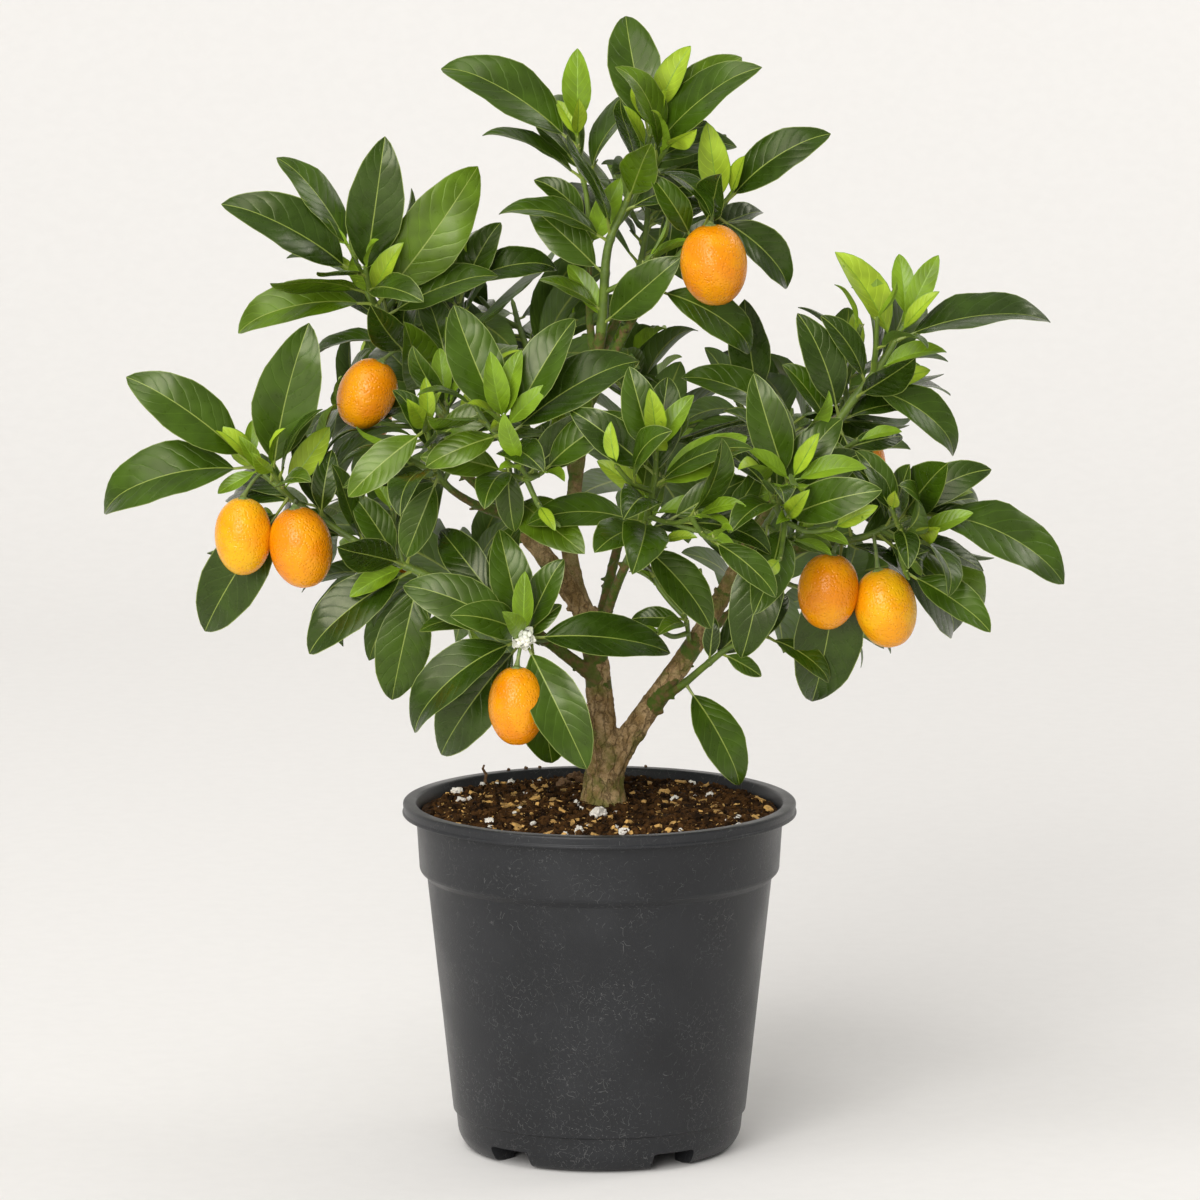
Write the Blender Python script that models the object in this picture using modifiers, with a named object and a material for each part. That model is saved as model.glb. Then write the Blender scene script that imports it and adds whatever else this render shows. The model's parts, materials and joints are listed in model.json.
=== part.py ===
"""A kumquat tree in a plastic nursery pot, as separate closed solids.

Metres, +Z up. The tree is modelled about the pot's axis, standing on the plane z = 0, with the side that
it shows to a viewer towards -Y. At the end all of it is moved sideways, so that the origin is the centre of
the bottom of its box. The pot and its compost are turned shapes. The trunk and each bough is one tapering
limb, and each mass of foliage is one solid that grows on from its bough's tip.
"""

import math
import random

import bmesh
import bpy
from mathutils import Matrix, Vector
from mathutils.bvhtree import BVHTree

MM = 0.001
GAP = 0.3 * MM
GOLDEN_ANGLE = math.radians(137.5)

# The pot: (radius, height) of each edge on its outside, a wall of one thickness, and five feet.
POT_HEIGHT = 178 * MM
RIM_RADIUS = 100 * MM
RIM_DEPTH = 6 * MM
NECK_RADIUS = 93 * MM
COLLAR_FOOT = (91.2 * MM, 144 * MM)
BODY_TOP = (87.6 * MM, 139.5 * MM)
BODY_FOOT = (74.4 * MM, 20.2 * MM)
RING_TOP = (72.8 * MM, 16.6 * MM)
RING_FOOT = (71.8 * MM, 9.5 * MM)
RING_ROUND = (67 * MM, 2.4 * MM)
FOOT_RADIUS = 61 * MM
FOOT_WALL = 7 * MM
WALL = 2 * MM
FLOOR_HEIGHT = 10 * MM
FLOOR_THICKNESS = 2 * MM
FOOT_COUNT = 5
FOOT_TURN = math.radians(-94)
NOTCH_WIDTH = 24 * MM
DRAIN_RADIUS = 5 * MM
DRAIN_CIRCLE = 47 * MM
POT_SIDES = 40

# The compost fills the pot nearly to its rim, heaped a little round the trunk.
SOIL_EDGE_HEIGHT = 173.5 * MM
SOIL_CENTRE_HEIGHT = 176.5 * MM

# Leaves. Lengths run from the twig to the leaf's tip, stalk included.
LEAF_STALK_SHARE = 0.13
ROOT_SINK = 1.0 * MM
LEAF_WIDTH_SHARE = 0.36
LEAF_THICKNESS_SHARE = 0.018
LEAF_OUTLINE = ((0.4, 0.96), (0.72, 0.8))
YOUNG_OUTLINE = ((0.52, 1.0),)
LEAF_FOLD = 0.14
CLEARANCE = 0.5 * MM
TRIAL_TURNS = (0, 24, -24, 48, -48, 76, -76, 104)
TRIAL_LENGTHS = (1.0, 0.85)

# A limb's line runs through its wood points and then through its green points, in millimetres. The wood
# is the bough, and the green part is the stem of its mass of foliage. "thick" holds the diameters at the
# root, where the foliage begins, and at the tip. "fan" and "young" are the leaves that make the crown's
# outline: the share of the green stem where each sits, its heading in the X-Z plane in degrees, its
# length in millimetres, and where they matter the turn of its face from the viewer up to the sky, its
# bend and its lean towards the viewer, all in degrees. The other leaves and the side twigs follow from
# the seed.
TRUNK = {"wood": ((2, 3, 176.8), (2, 3, 185), (3, 3, 195), (5, 3, 208)), "thick": (23, 20, 20, 19)}
BRANCHES = {
    "left_bough": {
        "parent": "trunk",
        "wood": ((4, 3, 198), (1, 3, 221), (-3, 0, 258), (-12, -2, 282), (-43, -4, 324), (-80, 3, 377)),
        "green": ((-95, 8, 402), (-108, 8, 423), (-120, 6, 443), (-125, 2, 465)),
        "thick": (15, 5.6, 2.8),
        "fan": ((0.8, 151, 80, 35, 25), (0.9, 129, 64, 68, 25), (0.74, 81, 79, 12, 14), (0.63, 191, 74, 52, 50),
                (0.62, 51, 88, 10, 16, 4), (0.55, 25, 63, 40, 30), (0.03, 201, 64, 62, 58, 12),
                (0.38, 189, 50, 74, 45)),
        "young": ((0.66, 63, 38), (0.68, 112, 28), (0.95, 150, 22), (1.0, 62, 26)),
        "leaves": 4, "twigs": 1, "seeds": (11, 130),
    },
    "leader": {
        "parent": "left_bough",
        "wood": ((-8, -1, 274), (-15, 4, 304), (-12, 8, 341), (-6, 8, 379), (1, 5, 418)),
        "green": ((4, 0, 459), (13, -2, 482), (22, -3, 505), (28, -4, 527)),
        "thick": (9, 5.4, 2.6),
        "fan": ((0.9, 103, 66, 0, 20, -26), (0.9, 42, 62, 20, 18), (0.8, 42, 82, 55, 16, 8),
                (0.55, 14, 52, 50, 40), (0.74, 16, 52, 64, 42), (0.4, 163, 60, 58, 45),
                (0.25, 139, 52, 25, 25), (0.08, 152, 38, 60, 40), (0.02, 42, 58, 20, 25, 16)),
        "young": ((1.0, 66, 40), (0.85, 120, 26), (0.04, 118, 34)),
        "leaves": 5, "twigs": 1, "seeds": (5, 117),
    },
    "leader_side": {
        "parent": "leader",
        "wood": ((-2, 6, 396), (-5, 12, 423), (-5, 13, 450)),
        "green": ((-6, 11, 481), (-10, 8, 502), (-11, 6, 518)),
        "thick": (4.4, 3.2, 2.2),
        "fan": ((0.88, 148, 82, 50, 35), (0.64, 151, 58, 70, 25), (0.6, 38, 76, 64, 68, 10),
                (0.3, 138, 36, 45, 30)),
        "young": ((1.0, 90, 42, 10, 12), (0.95, 118, 22), (0.12, 66, 40, 10, 14)),
        "leaves": 2, "twigs": 0, "seeds": (8, 85),
    },
    "upper_right": {
        "parent": "leader",
        "wood": ((-5, 8, 382), (10, 4, 411), (25, -4, 439)),
        "green": ((45, -10, 463), (60, -14, 481), (68, -16, 492)),
        "thick": (5.6, 4.2, 2.4),
        "fan": ((0.85, 36, 66, 42, 35), (0.75, 318, 56, 35, 35, -6), (0.03, 328, 64, 40, 45),
                (0.5, 122, 42, 30, 25)),
        "young": ((0.8, 98, 46), (0.95, 52, 28)),
        "leaves": 2, "twigs": 0, "seeds": (21, 154),
    },
    "right_bough": {
        "parent": "trunk",
        "wood": ((6, 3, 197), (27, 0, 228), (45, -6, 255), (63, -12, 287), (74, -15, 309), (96, -14, 344)),
        "green": ((113, -10, 364), (129, -6, 386), (144, -2, 405), (154, 2, 423)),
        "thick": (13, 6, 2.8),
        "fan": ((0.88, 7, 83, 60, 52), (0.6, 327, 62, 50, 58), (0.4, 108, 59, 40, 22),
                (0.38, 290, 58, 35, 35), (0.62, 124, 44, 55, 50), (0.33, 128, 42, 60, 30)),
        "young": ((0.87, 121, 56, 50, 14), (0.97, 64, 40, 20, 12), (0.72, 15, 36), (1.0, 95, 34),
                  (0.93, 47, 30), (0.62, 8, 34)),
        "leaves": 3, "twigs": 1, "seeds": (31, 45),
    },
    "lower_left": {
        "parent": "left_bough",
        "wood": ((-3, 0, 242), (-35, -22, 270), (-60, -30, 286), (-85, -32, 298)),
        "green": ((-112, -30, 310), (-131, -28, 321), (-155, -24, 337), (-175, -20, 354)),
        "thick": (6.5, 4.4, 2.4),
        "fan": ((0.97, 195, 84, 46, 40), (0.98, 144, 79, 34, 25), (0.87, 80, 84, 10, 12),
                (0.76, 236, 86, 10, 15, -12), (0.08, 214, 70, 34, 42), (0.05, 257, 69, 10, 20),
                (0.12, 69, 55), (0.16, 123, 42), (0.58, 80, 36)),
        "young": ((0.8, 51, 40, 10, 14), (0.97, 131, 30), (1.0, 88, 22), (0.12, 203, 34, 30, 20, 16),
                  (0.95, 212, 24)),
        "leaves": 3, "twigs": 1, "seeds": (41, 181),
    },
    "front_low": {
        "parent": "lower_left",
        "wood": ((-26, -15, 262), (-33, -38, 267)),
        "green": ((-36, -56, 271), (-38, -75, 274)),
        "thick": (3.6, 3.2, 2.6),
        "fan": ((0.9, 153, 66, 30, 25), (0.9, 218, 77, 50, 58), (0.75, 233, 78, 18, 24),
                (0.95, 293, 73, 10, 20), (0.85, 352, 76, 42, 40), (0.7, 104, 56, 10, 20),
                (0.8, 65, 46, 55, 20), (0.75, 43, 26), (0.2, 279, 70, 10, 15, -14)),
        "young": ((1.0, 88, 34),),
        "leaves": 1, "twigs": 0, "seeds": (51, 296),
    },
    "left_middle": {
        "parent": "left_bough",
        "wood": ((-43, -4, 323), (-61, -25, 333), (-75, -45, 345)),
        "green": ((-82, -58, 358), (-85, -67, 378)),
        "thick": (5, 3.6, 2.4),
        "fan": ((1.0, 221, 53, 35, 34), (0.8, 29, 42, 30, 25), (0.3, 250, 46), (0.6, 118, 40)),
        "young": ((1.0, 90, 26),),
        "leaves": 3, "twigs": 1, "seeds": (61, 187),
    },
    "front_left": {
        "parent": "left_bough",
        "wood": ((-40, -4, 319), (-42, -34, 335)),
        "green": ((-45, -68, 358), (-47, -90, 384)),
        "thick": (4.8, 3.6, 2.4),
        "fan": ((0.95, 115, 66, 12, 20), (0.9, 57, 67, 40, 22), (0.86, 30, 78, 45, 34), (0.9, 205, 44),
                (0.62, 272, 36, 10, 20), (0.5, 168, 46)),
        "young": ((1.0, 80, 38), (1.0, 104, 38), (0.95, 45, 32)),
        "leaves": 3, "twigs": 1, "seeds": (71, 127),
    },
    "front_centre": {
        "parent": "left_bough",
        "wood": ((-2, -1, 253), (6, -25, 285), (14, -50, 309)),
        "green": ((23, -75, 333), (27, -90, 355), (28, -98, 374)),
        "thick": (5.4, 4.4, 2.6),
        "fan": ((0.22, 314, 58, 35, 30), (0.4, 180, 60, 54, 45), (0.8, 143, 54, 25, 25), (0.35, 4, 44),
                (0.9, 107, 50, 15, 20)),
        "young": ((0.7, 28, 53, 25, 16), (0.95, 60, 34), (1.0, 95, 32), (0.6, 145, 34),
                  (0.5, 353, 40, 45, 36)),
        "leaves": 3, "twigs": 1, "seeds": (81, 165),
    },
    "right_middle": {
        "parent": "right_bough",
        "wood": ((76, -15, 311), (83, -40, 325)),
        "green": ((89, -60, 339), (95, -75, 353)),
        "thick": (4.6, 3.6, 2.4),
        "fan": ((0.9, 109, 60, 10, 20), (0.1, 262, 70, 14, 20, 6), (0.6, 200, 38), (0.7, 55, 50),
                (0.5, 92, 58, 15, 20, -24)),
        "young": ((1.0, 12, 38), (0.95, 205, 30), (1.0, 143, 30), (0.95, 330, 34), (1.0, 60, 28)),
        "leaves": 2, "twigs": 1, "seeds": (91, 105),
    },
    "lower_right": {
        "parent": "right_bough",
        "wood": ((70, -13, 302), (96, -25, 310), (115, -32, 315)),
        "green": ((133, -36, 319), (149, -40, 327), (168, -42, 336)),
        "thick": (5.4, 4.4, 2.4),
        "fan": ((0.8, 336, 88, 58, 66), (0.5, 318, 71, 52, 58), (0.42, 308, 84, 46, 50, -6),
                (0.12, 262, 88, 10, 14, -8), (0.2, 101, 52), (0.62, 30, 56, 45, 40), (0.85, 350, 34)),
        "young": ((0.72, 78, 26), (0.95, 60, 24)),
        "leaves": 2, "twigs": 1, "seeds": (101, 311),
    },
    "low_side": {
        "parent": "right_bough",
        "wood": ((27, 0, 227), (41, -13, 239)),
        "green": ((54, -24, 252), (67, -32, 263), (83, -38, 269)),
        "thick": (4.8, 4, 2.4),
        "fan": ((0.06, 299, 61, 42, 42), (1.0, 322, 42, 55, 40), (0.4, 85, 24), (0.55, 330, 24)),
        "young": (),
        "leaves": 1, "twigs": 0, "seeds": (111, 223),
    },
    "small_spur": {
        "parent": "right_bough",
        "wood": ((46, -6, 255), (45, -15, 264)),
        "green": ((44, -22, 272), (42, -27, 280)),
        "thick": (3, 2.6, 2),
        "fan": ((0.7, 178, 28), (0.9, 70, 26)),
        "young": (),
        "leaves": 1, "twigs": 0, "seeds": (121, 247),
    },
    "left_high": {
        "parent": "left_bough",
        "wood": ((-60, -2, 348), (-62, 16, 373), (-66, 28, 400)),
        "green": ((-70, 34, 420), (-73, 36, 440)),
        "thick": (4.6, 3.4, 2.2),
        "fan": ((0.9, 12, 54, 50, 40), (0.7, 66, 48), (0.6, 128, 50)),
        "young": ((1.0, 84, 30),),
        "leaves": 5, "twigs": 1, "seeds": (131, 313),
    },
    "right_high": {
        "parent": "right_bough",
        "wood": ((84, -15, 325), (90, 4, 343), (93, 15, 355)),
        "green": ((96, 25, 365), (98, 34, 374)),
        "thick": (4.4, 3.4, 2.2),
        "fan": ((0.7, 156, 62, 40, 35),),
        "young": (),
        "leaves": 5, "twigs": 1, "seeds": (141, 162),
    },
    "back_top": {
        "parent": "leader",
        "wood": ((-12, 8, 343), (-22, 36, 370), (-32, 62, 390)),
        "green": ((-40, 84, 406), (-45, 98, 422)),
        "thick": (5.4, 4, 2.4),
        "leaves": 8, "twigs": 2, "seeds": (151, 389),
    },
    "back_high": {
        "parent": "leader",
        "wood": ((-2, 8, 400), (12, 28, 426), (20, 42, 444)),
        "green": ((24, 54, 466), (25, 60, 486)),
        "thick": (4.6, 3.4, 2.2),
        "leaves": 7, "twigs": 1, "seeds": (155, 351),
    },
    "back_left": {
        "parent": "left_bough",
        "wood": ((-26, -3, 300), (-54, 38, 326), (-84, 76, 348)),
        "green": ((-106, 104, 366), (-122, 120, 388)),
        "thick": (5.6, 4, 2.4),
        "leaves": 8, "twigs": 2, "seeds": (161, 378),
    },
    "back_right": {
        "parent": "right_bough",
        "wood": ((63, -12, 287), (80, 32, 315), (98, 68, 337)),
        "green": ((112, 96, 358), (121, 112, 382)),
        "thick": (5.6, 4, 2.4),
        "leaves": 8, "twigs": 2, "seeds": (171, 332),
    },
    "back_centre": {
        "parent": "left_bough",
        "wood": ((-2, 0, 260), (8, 46, 296), (17, 88, 324)),
        "green": ((23, 122, 348), (27, 146, 374)),
        "thick": (5.8, 4.2, 2.4),
        "leaves": 8, "twigs": 2, "seeds": (181, 265),
    },
    "low_back_left": {
        "parent": "left_bough",
        "wood": ((0, 2, 238), (-34, 40, 260), (-64, 74, 275)),
        "green": ((-88, 100, 286), (-106, 120, 300)),
        "thick": (5, 3.8, 2.4),
        "leaves": 7, "twigs": 1, "seeds": (191, 457),
    },
    "low_back_right": {
        "parent": "right_bough",
        "wood": ((28, 0, 229), (52, 40, 252), (73, 72, 269)),
        "green": ((90, 100, 282), (104, 120, 298)),
        "thick": (5, 3.8, 2.4),
        "leaves": 7, "twigs": 1, "seeds": (201, 369),
    },
}

# Fruit: the branch, the share of its green stem where the stalk starts, the fruit's centre in
# millimetres, its length and width, and how far its foot is swung from plumb, in degrees towards +X.
FRUITS = (
    ("lower_left", 0.93, (-178, -42, 320), 39, 28.5, 0),
    ("lower_left", 0.72, (-149, -46, 315), 41, 31.5, 9),
    ("left_bough", 0.36, (-117, -6, 387), 36.5, 29, -25),
    ("front_low", 1.0, (-41, -82, 241), 39.5, 28.5, 0),
    ("upper_right", 0.8, (57, -30, 455), 41, 33.5, 5),
    ("lower_right", 0.1, (114, -54, 294), 38, 30.5, -6),
    ("lower_right", 0.4, (143, -50, 285), 40, 31, 12),
    ("back_left", 0.75, (-116, 140, 350), 38, 29, 0),
    ("back_centre", 0.8, (44, 150, 336), 40, 30, 0),
    ("back_right", 0.5, (134, 112, 333), 38, 29, 0),
    ("low_back_left", 0.9, (-114, 132, 271), 37, 28, 0),
)

BARK = (0.19, 0.13, 0.075)
GREEN_WOOD = (0.12, 0.17, 0.05)
FOLIAGE = (0.035, 0.12, 0.025)
POT_GREY = (0.035, 0.037, 0.04)
COMPOST = (0.03, 0.018, 0.01)


def mm(point):
    """A point given in millimetres, in metres."""
    return Vector(point) * MM


def curve_through(points, steps):
    """Points on a smooth line through the given ones."""
    ends = [points[0] * 2 - points[1], *points, points[-1] * 2 - points[-2]]
    line = []
    for a, b, c, d in zip(ends, ends[1:], ends[2:], ends[3:]):
        for i in range(steps):
            t = i / steps
            line.append(0.5 * (2 * b + (c - a) * t + (2 * a - 5 * b + 4 * c - d) * t**2
                               + (3 * b - a - 3 * c + d) * t**3))
    return [*line, points[-1]]


class Line:
    """A smooth centreline. It gives the point, the direction and the radius at a share of its length."""

    def __init__(self, points, diameters, neck=1.0, steps=6):
        self.points = curve_through(points, steps)
        self.diameters, self.neck = diameters, neck
        self.lengths = [0.0]
        for a, b in zip(self.points, self.points[1:]):
            self.lengths.append(self.lengths[-1] + (b - a).length)
        self.length = self.lengths[-1]

    def at(self, share):
        wanted = min(max(share, 0), 1) * self.length
        i = max(i for i, l in enumerate(self.lengths[:-1]) if l <= wanted + 1e-12)
        run = self.lengths[i + 1] - self.lengths[i]
        return self.points[i].lerp(self.points[i + 1], (wanted - self.lengths[i]) / run)

    def along(self, share):
        step = 0.02
        return (self.at(share + step) - self.at(share - step)).normalized()

    def radius(self, share):
        """Half the diameter there. The first diameters belong to the wood and the last to the tip."""
        *wood, tip = self.diameters
        if share > self.neck:
            return (wood[-1] + (tip - wood[-1]) * (share - self.neck) / (1 - self.neck)) / 2
        stops = wood if self.neck < 1 else self.diameters
        place = share / self.neck * (len(stops) - 1)
        i = min(int(place), len(stops) - 2)
        return (stops[i] + (stops[i + 1] - stops[i]) * (place - i)) / 2

    def stretch(self, first, last, count, swell=0.0):
        """Points and radii from one share to another, with its last bits straight so that ends are square."""
        shares = [first + (last - first) * i / (count - 1) for i in range(count)]
        points = [self.at(share) for share in shares]
        start, end = self.along(first), self.along(last)
        straight = 0.6 * MM
        points = [points[0] - start * swell, points[0] + start * straight, *points[1:-1],
                  points[-1] - end * straight, points[-1] + end * swell]
        radii = [self.radius(share) + swell for share in [first, *shares, last]]
        return points, radii


class Leaf:
    """Where one leaf sits and how it hangs. Its spine is an arc that bends away from its upper face."""

    def __init__(self, branch, root, out, face, length, bend, kind, width=LEAF_WIDTH_SHARE):
        self.branch, self.root, self.length, self.bend, self.kind = branch, root, length, bend, kind
        self.width_share = width
        self.width = width * length / (1 - LEAF_STALK_SHARE)
        self.out = out.normalized()
        self.face = (face - face.dot(self.out) * self.out).normalized()
        self.side = self.out.cross(self.face)
        turn = Matrix.Rotation(bend / 2, 3, self.side)
        self.start, self.up = turn @ self.out, turn @ self.face

    def spine(self, share):
        """The point at a share of the leaf's length, and the way that its face looks there."""
        angle = self.bend * share
        reach = self.length / self.bend
        point = self.root + reach * (math.sin(angle) * self.start - (1 - math.cos(angle)) * self.up)
        return point, math.cos(angle) * self.up + math.sin(angle) * self.start

    def solid(self, first=0.0, swell=0.0):
        """Points and faces of its three-sided blade, drawn to a point at both ends and sunk into its twig.
        For a test it can start part of the way along, and be swollen."""
        outline = LEAF_OUTLINE if self.kind == "mature" else YOUNG_OUTLINE
        rows = [(share, wide * self.width / 2) for share, wide in outline]
        if first:
            rows.insert(0, (first, rows[0][1] * first / rows[0][0]))
        points = []
        for share, half in rows:
            middle, up = self.spine(share)
            edge = self.side * (half + swell)
            lift = up * (LEAF_FOLD * half + swell)
            keel = up * (LEAF_THICKNESS_SHARE * self.length / 2 + swell)
            points += [middle - edge + lift, middle + edge + lift, middle - keel]
        tip, _ = self.spine(1 + swell / self.length)
        points.append(tip)
        last = 3 * len(rows) - 3
        faces = []
        for row in range(0, last, 3):
            for i in range(3):
                j = (i + 1) % 3
                faces.append((row + i, row + j, row + 3 + j, row + 3 + i))
        faces += [(last + i, last + (i + 1) % 3, last + 3) for i in range(3)]
        if first:
            return points, [(2, 1, 0), *faces]
        root = len(points)
        points.append(self.root - self.start * ROOT_SINK)
        return points, [*faces, *((i, root, (i + 1) % 3) for i in range(3))]


class Grown:
    """What has grown so far. It tells whether a new piece would touch any of it."""

    def __init__(self):
        self.pieces = []

    def add(self, kind, branch, points, faces):
        low, high = self.box(points)
        self.pieces.append((kind, branch, low, high, BVHTree.FromPolygons(points, faces)))

    @staticmethod
    def box(points):
        return (Vector(min(p[i] for p in points) for i in range(3)),
                Vector(max(p[i] for p in points) for i in range(3)))

    def touched(self, points, faces):
        """(kind, branch) of each grown piece that the new one would touch."""
        low, high = self.box(points)
        tree = BVHTree.FromPolygons(points, faces)
        for kind, branch, other_low, other_high, other in self.pieces:
            apart = any(low[i] > other_high[i] or high[i] < other_low[i] for i in range(3))
            if not apart and tree.overlap(other):
                yield kind, branch


def tube(points, radii, resolution):
    """Points and faces of a closed tapering tube: a bevelled curve, made a mesh with its caps welded."""
    curve = bpy.data.curves.new("tube", "CURVE")
    curve.dimensions = "3D"
    curve.bevel_depth = 1.0
    curve.bevel_resolution = resolution
    curve.use_fill_caps = True
    spline = curve.splines.new("POLY")
    spline.points.add(len(points) - 1)
    for slot, point, radius in zip(spline.points, points, radii):
        slot.co = (*point, 1)
        slot.radius = radius
    guide = bpy.data.objects.new("tube", curve)
    mesh = bpy.data.meshes.new_from_object(guide)
    body = bmesh.new()
    body.from_mesh(mesh)
    bmesh.ops.remove_doubles(body, verts=body.verts, dist=1e-6)
    bmesh.ops.recalc_face_normals(body, faces=body.faces)
    body.verts.index_update()
    corners = [v.co.copy() for v in body.verts]
    faces = [tuple(v.index for v in f.verts) for f in body.faces]
    body.free()
    bpy.data.objects.remove(guide)
    bpy.data.curves.remove(curve)
    bpy.data.meshes.remove(mesh)
    return corners, faces


def limbs():
    """The line of the trunk and of each branch, from its root to its tip."""
    found = {"trunk": Line([mm(p) for p in TRUNK["wood"]], [d * MM for d in TRUNK["thick"]])}
    for name, branch in BRANCHES.items():
        wood = [mm(p) for p in branch["wood"]]
        line = Line(wood + [mm(p) for p in branch["green"]], [d * MM for d in branch["thick"]])
        line.neck = line.lengths[(len(wood) - 1) * 6] / line.length
        found[name] = line
    return found


def limb_shape(line, swell=0.0):
    """A limb's tube from its root to its neck."""
    thick = line.radius(0) > 5 * MM
    points, radii = line.stretch(0.0, line.neck, 9 if thick else 5, swell)
    return tube(points, radii, 3 if thick else 1)


def stem_shape(line):
    """The tube of a branch's green stem, from just past its neck to its tip."""
    return tube(*line.stretch(line.neck + GAP / line.length, 1.0, 4), 0)


def twig_shape(twig, first=0.0, swell=0.0):
    """The tube of a side twig."""
    return tube(*twig.stretch(first, 1.0, 3, swell), 0)


def place_fruit(lines, entry):
    """A fruit's stalk root and body from its entry in the table."""
    name, at, centre, length, width, swing = entry
    swing = math.radians(swing)
    return {"branch": name, "root": lines[name].at(green_share(lines[name], at)), "centre": mm(centre),
            "length": length * MM, "width": width * MM,
            "down": Vector((math.sin(swing), 0, -math.cos(swing)))}


def fruit_shape(fruit):
    """Points and faces of an oval fruit, a sphere drawn out along its axis."""
    body = bmesh.new()
    bmesh.ops.create_uvsphere(body, u_segments=8, v_segments=6, radius=0.5)
    turn = (-fruit["down"]).to_track_quat("Z", "Y").to_matrix().to_4x4()
    size = Matrix.Diagonal((fruit["width"], fruit["width"], fruit["length"], 1))
    bmesh.ops.transform(body, matrix=Matrix.Translation(fruit["centre"]) @ turn @ size, verts=body.verts)
    points = [v.co.copy() for v in body.verts]
    faces = [tuple(v.index for v in f.verts) for f in body.faces]
    body.free()
    return points, faces


def fruit_stalk_shape(fruit):
    """A fruit's stalk, which bows from its twig down into the fruit's crown."""
    crown = fruit["centre"] - fruit["down"] * fruit["length"] * 0.42
    bow = fruit["root"].lerp(crown, 0.5) + Vector((0, 0, 2 * MM))
    return tube(*Line([fruit["root"], bow, crown], (2.2 * MM, 2.6 * MM)).stretch(0.0, 1.0, 3), 0)


def green_share(line, at):
    """The share of the whole line that lies at a share of its green stem."""
    return line.neck + (1 - line.neck) * at


def outline_leaf(name, line, kind, entry, dice):
    """A leaf of the outline, whose chord lies near the X-Z plane."""
    at, heading, length, *hang = entry
    drawn = [dice.uniform(20, 58), dice.uniform(24, 44) if kind == "fan" else dice.uniform(10, 22),
             dice.uniform(-6, 12)]
    turned_up, bend, lean = (math.radians(angle) for angle in [*hang, *drawn[len(hang):]])
    heading = math.radians(heading)
    out = Vector((math.cos(heading), -math.sin(lean), math.sin(heading)))
    face = Vector((0, -math.cos(turned_up), math.sin(turned_up)))
    width = LEAF_WIDTH_SHARE * dice.uniform(0.94, 1.1)
    return Leaf(name, line.at(green_share(line, at)), out, face, length * MM, bend,
                "mature" if kind == "fan" else "young", width)


def rule_leaf(name, line, share, turn, spread, length, kind, dice):
    """A leaf set by the rule: it stands off its twig by the spread and looks up and away from the trunk."""
    along = line.along(share)
    side = along.cross(Vector((0.2, 0.3, 0.93))).normalized()
    out = math.cos(spread) * along + math.sin(spread) * (math.cos(turn) * side
                                                         + math.sin(turn) * along.cross(side))
    out.z -= 0.12
    root = line.at(share)
    away = Vector((root.x, root.y, 0)).normalized()
    face = 0.7 * along + 0.45 * away + Vector((0, 0, 0.5))
    bend = math.radians(dice.uniform(18, 44) if kind == "mature" else dice.uniform(10, 24))
    return Leaf(name, root, out, face, length, bend, kind)


def is_clear(grown, leaf):
    """Whether a leaf touches nothing. Only its blade counts among the pieces of its own mass."""
    whole = {owner for _, owner in grown.touched(*leaf.solid(0.04, CLEARANCE))}
    if whole - {leaf.branch}:
        return False
    return not any(grown.touched(*leaf.solid(0.2, CLEARANCE))) if whole else True


def keep(grown, leaves, leaf):
    leaves.append(leaf)
    grown.add("leaf", leaf.branch, *leaf.solid())


def outline_leaves(name, lines, grown, seed):
    """The leaves from a branch's table. One that would touch its own mass swings towards the viewer or
    away, and one that no swing clears is still kept unless it touches another mass or a limb."""
    dice = random.Random(seed)
    leaves = []
    for kind in ("fan", "young"):
        for entry in BRANCHES[name].get(kind, ()):
            leaf = outline_leaf(name, lines[name], kind, entry, dice)
            trials = []
            for swing in (0, -8, 8, -16, 16, -26, 26):
                lean = Vector((0, math.sin(math.radians(swing)), 0))
                trials.append(Leaf(name, leaf.root, leaf.out + lean, leaf.face, leaf.length, leaf.bend,
                                   leaf.kind, leaf.width_share))
            for trial in trials:
                if is_clear(grown, trial):
                    keep(grown, leaves, trial)
                    break
            else:
                for trial in trials:
                    owners = {owner for _, owner in grown.touched(*trial.solid(0.04, CLEARANCE))}
                    if not owners - {name}:
                        keep(grown, leaves, trial)
                        break
    return leaves


def grow_twig(line, share, turn, dice):
    """A short twig that leaves its stem at a slant and rises towards its tip."""
    along = line.along(share)
    side = along.cross(Vector((0.2, 0.3, 0.93))).normalized()
    spread = math.radians(dice.uniform(46, 62))
    out = math.cos(spread) * along + math.sin(spread) * (math.cos(turn) * side
                                                         + math.sin(turn) * along.cross(side))
    length = dice.uniform(24, 36) * MM
    root = line.at(share)
    middle = root + out * length * 0.5
    tip = middle + (out + Vector((0, 0, 0.45))).normalized() * length * 0.5
    return Line([root, middle, tip], (3 * MM, 2.2 * MM))


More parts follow.
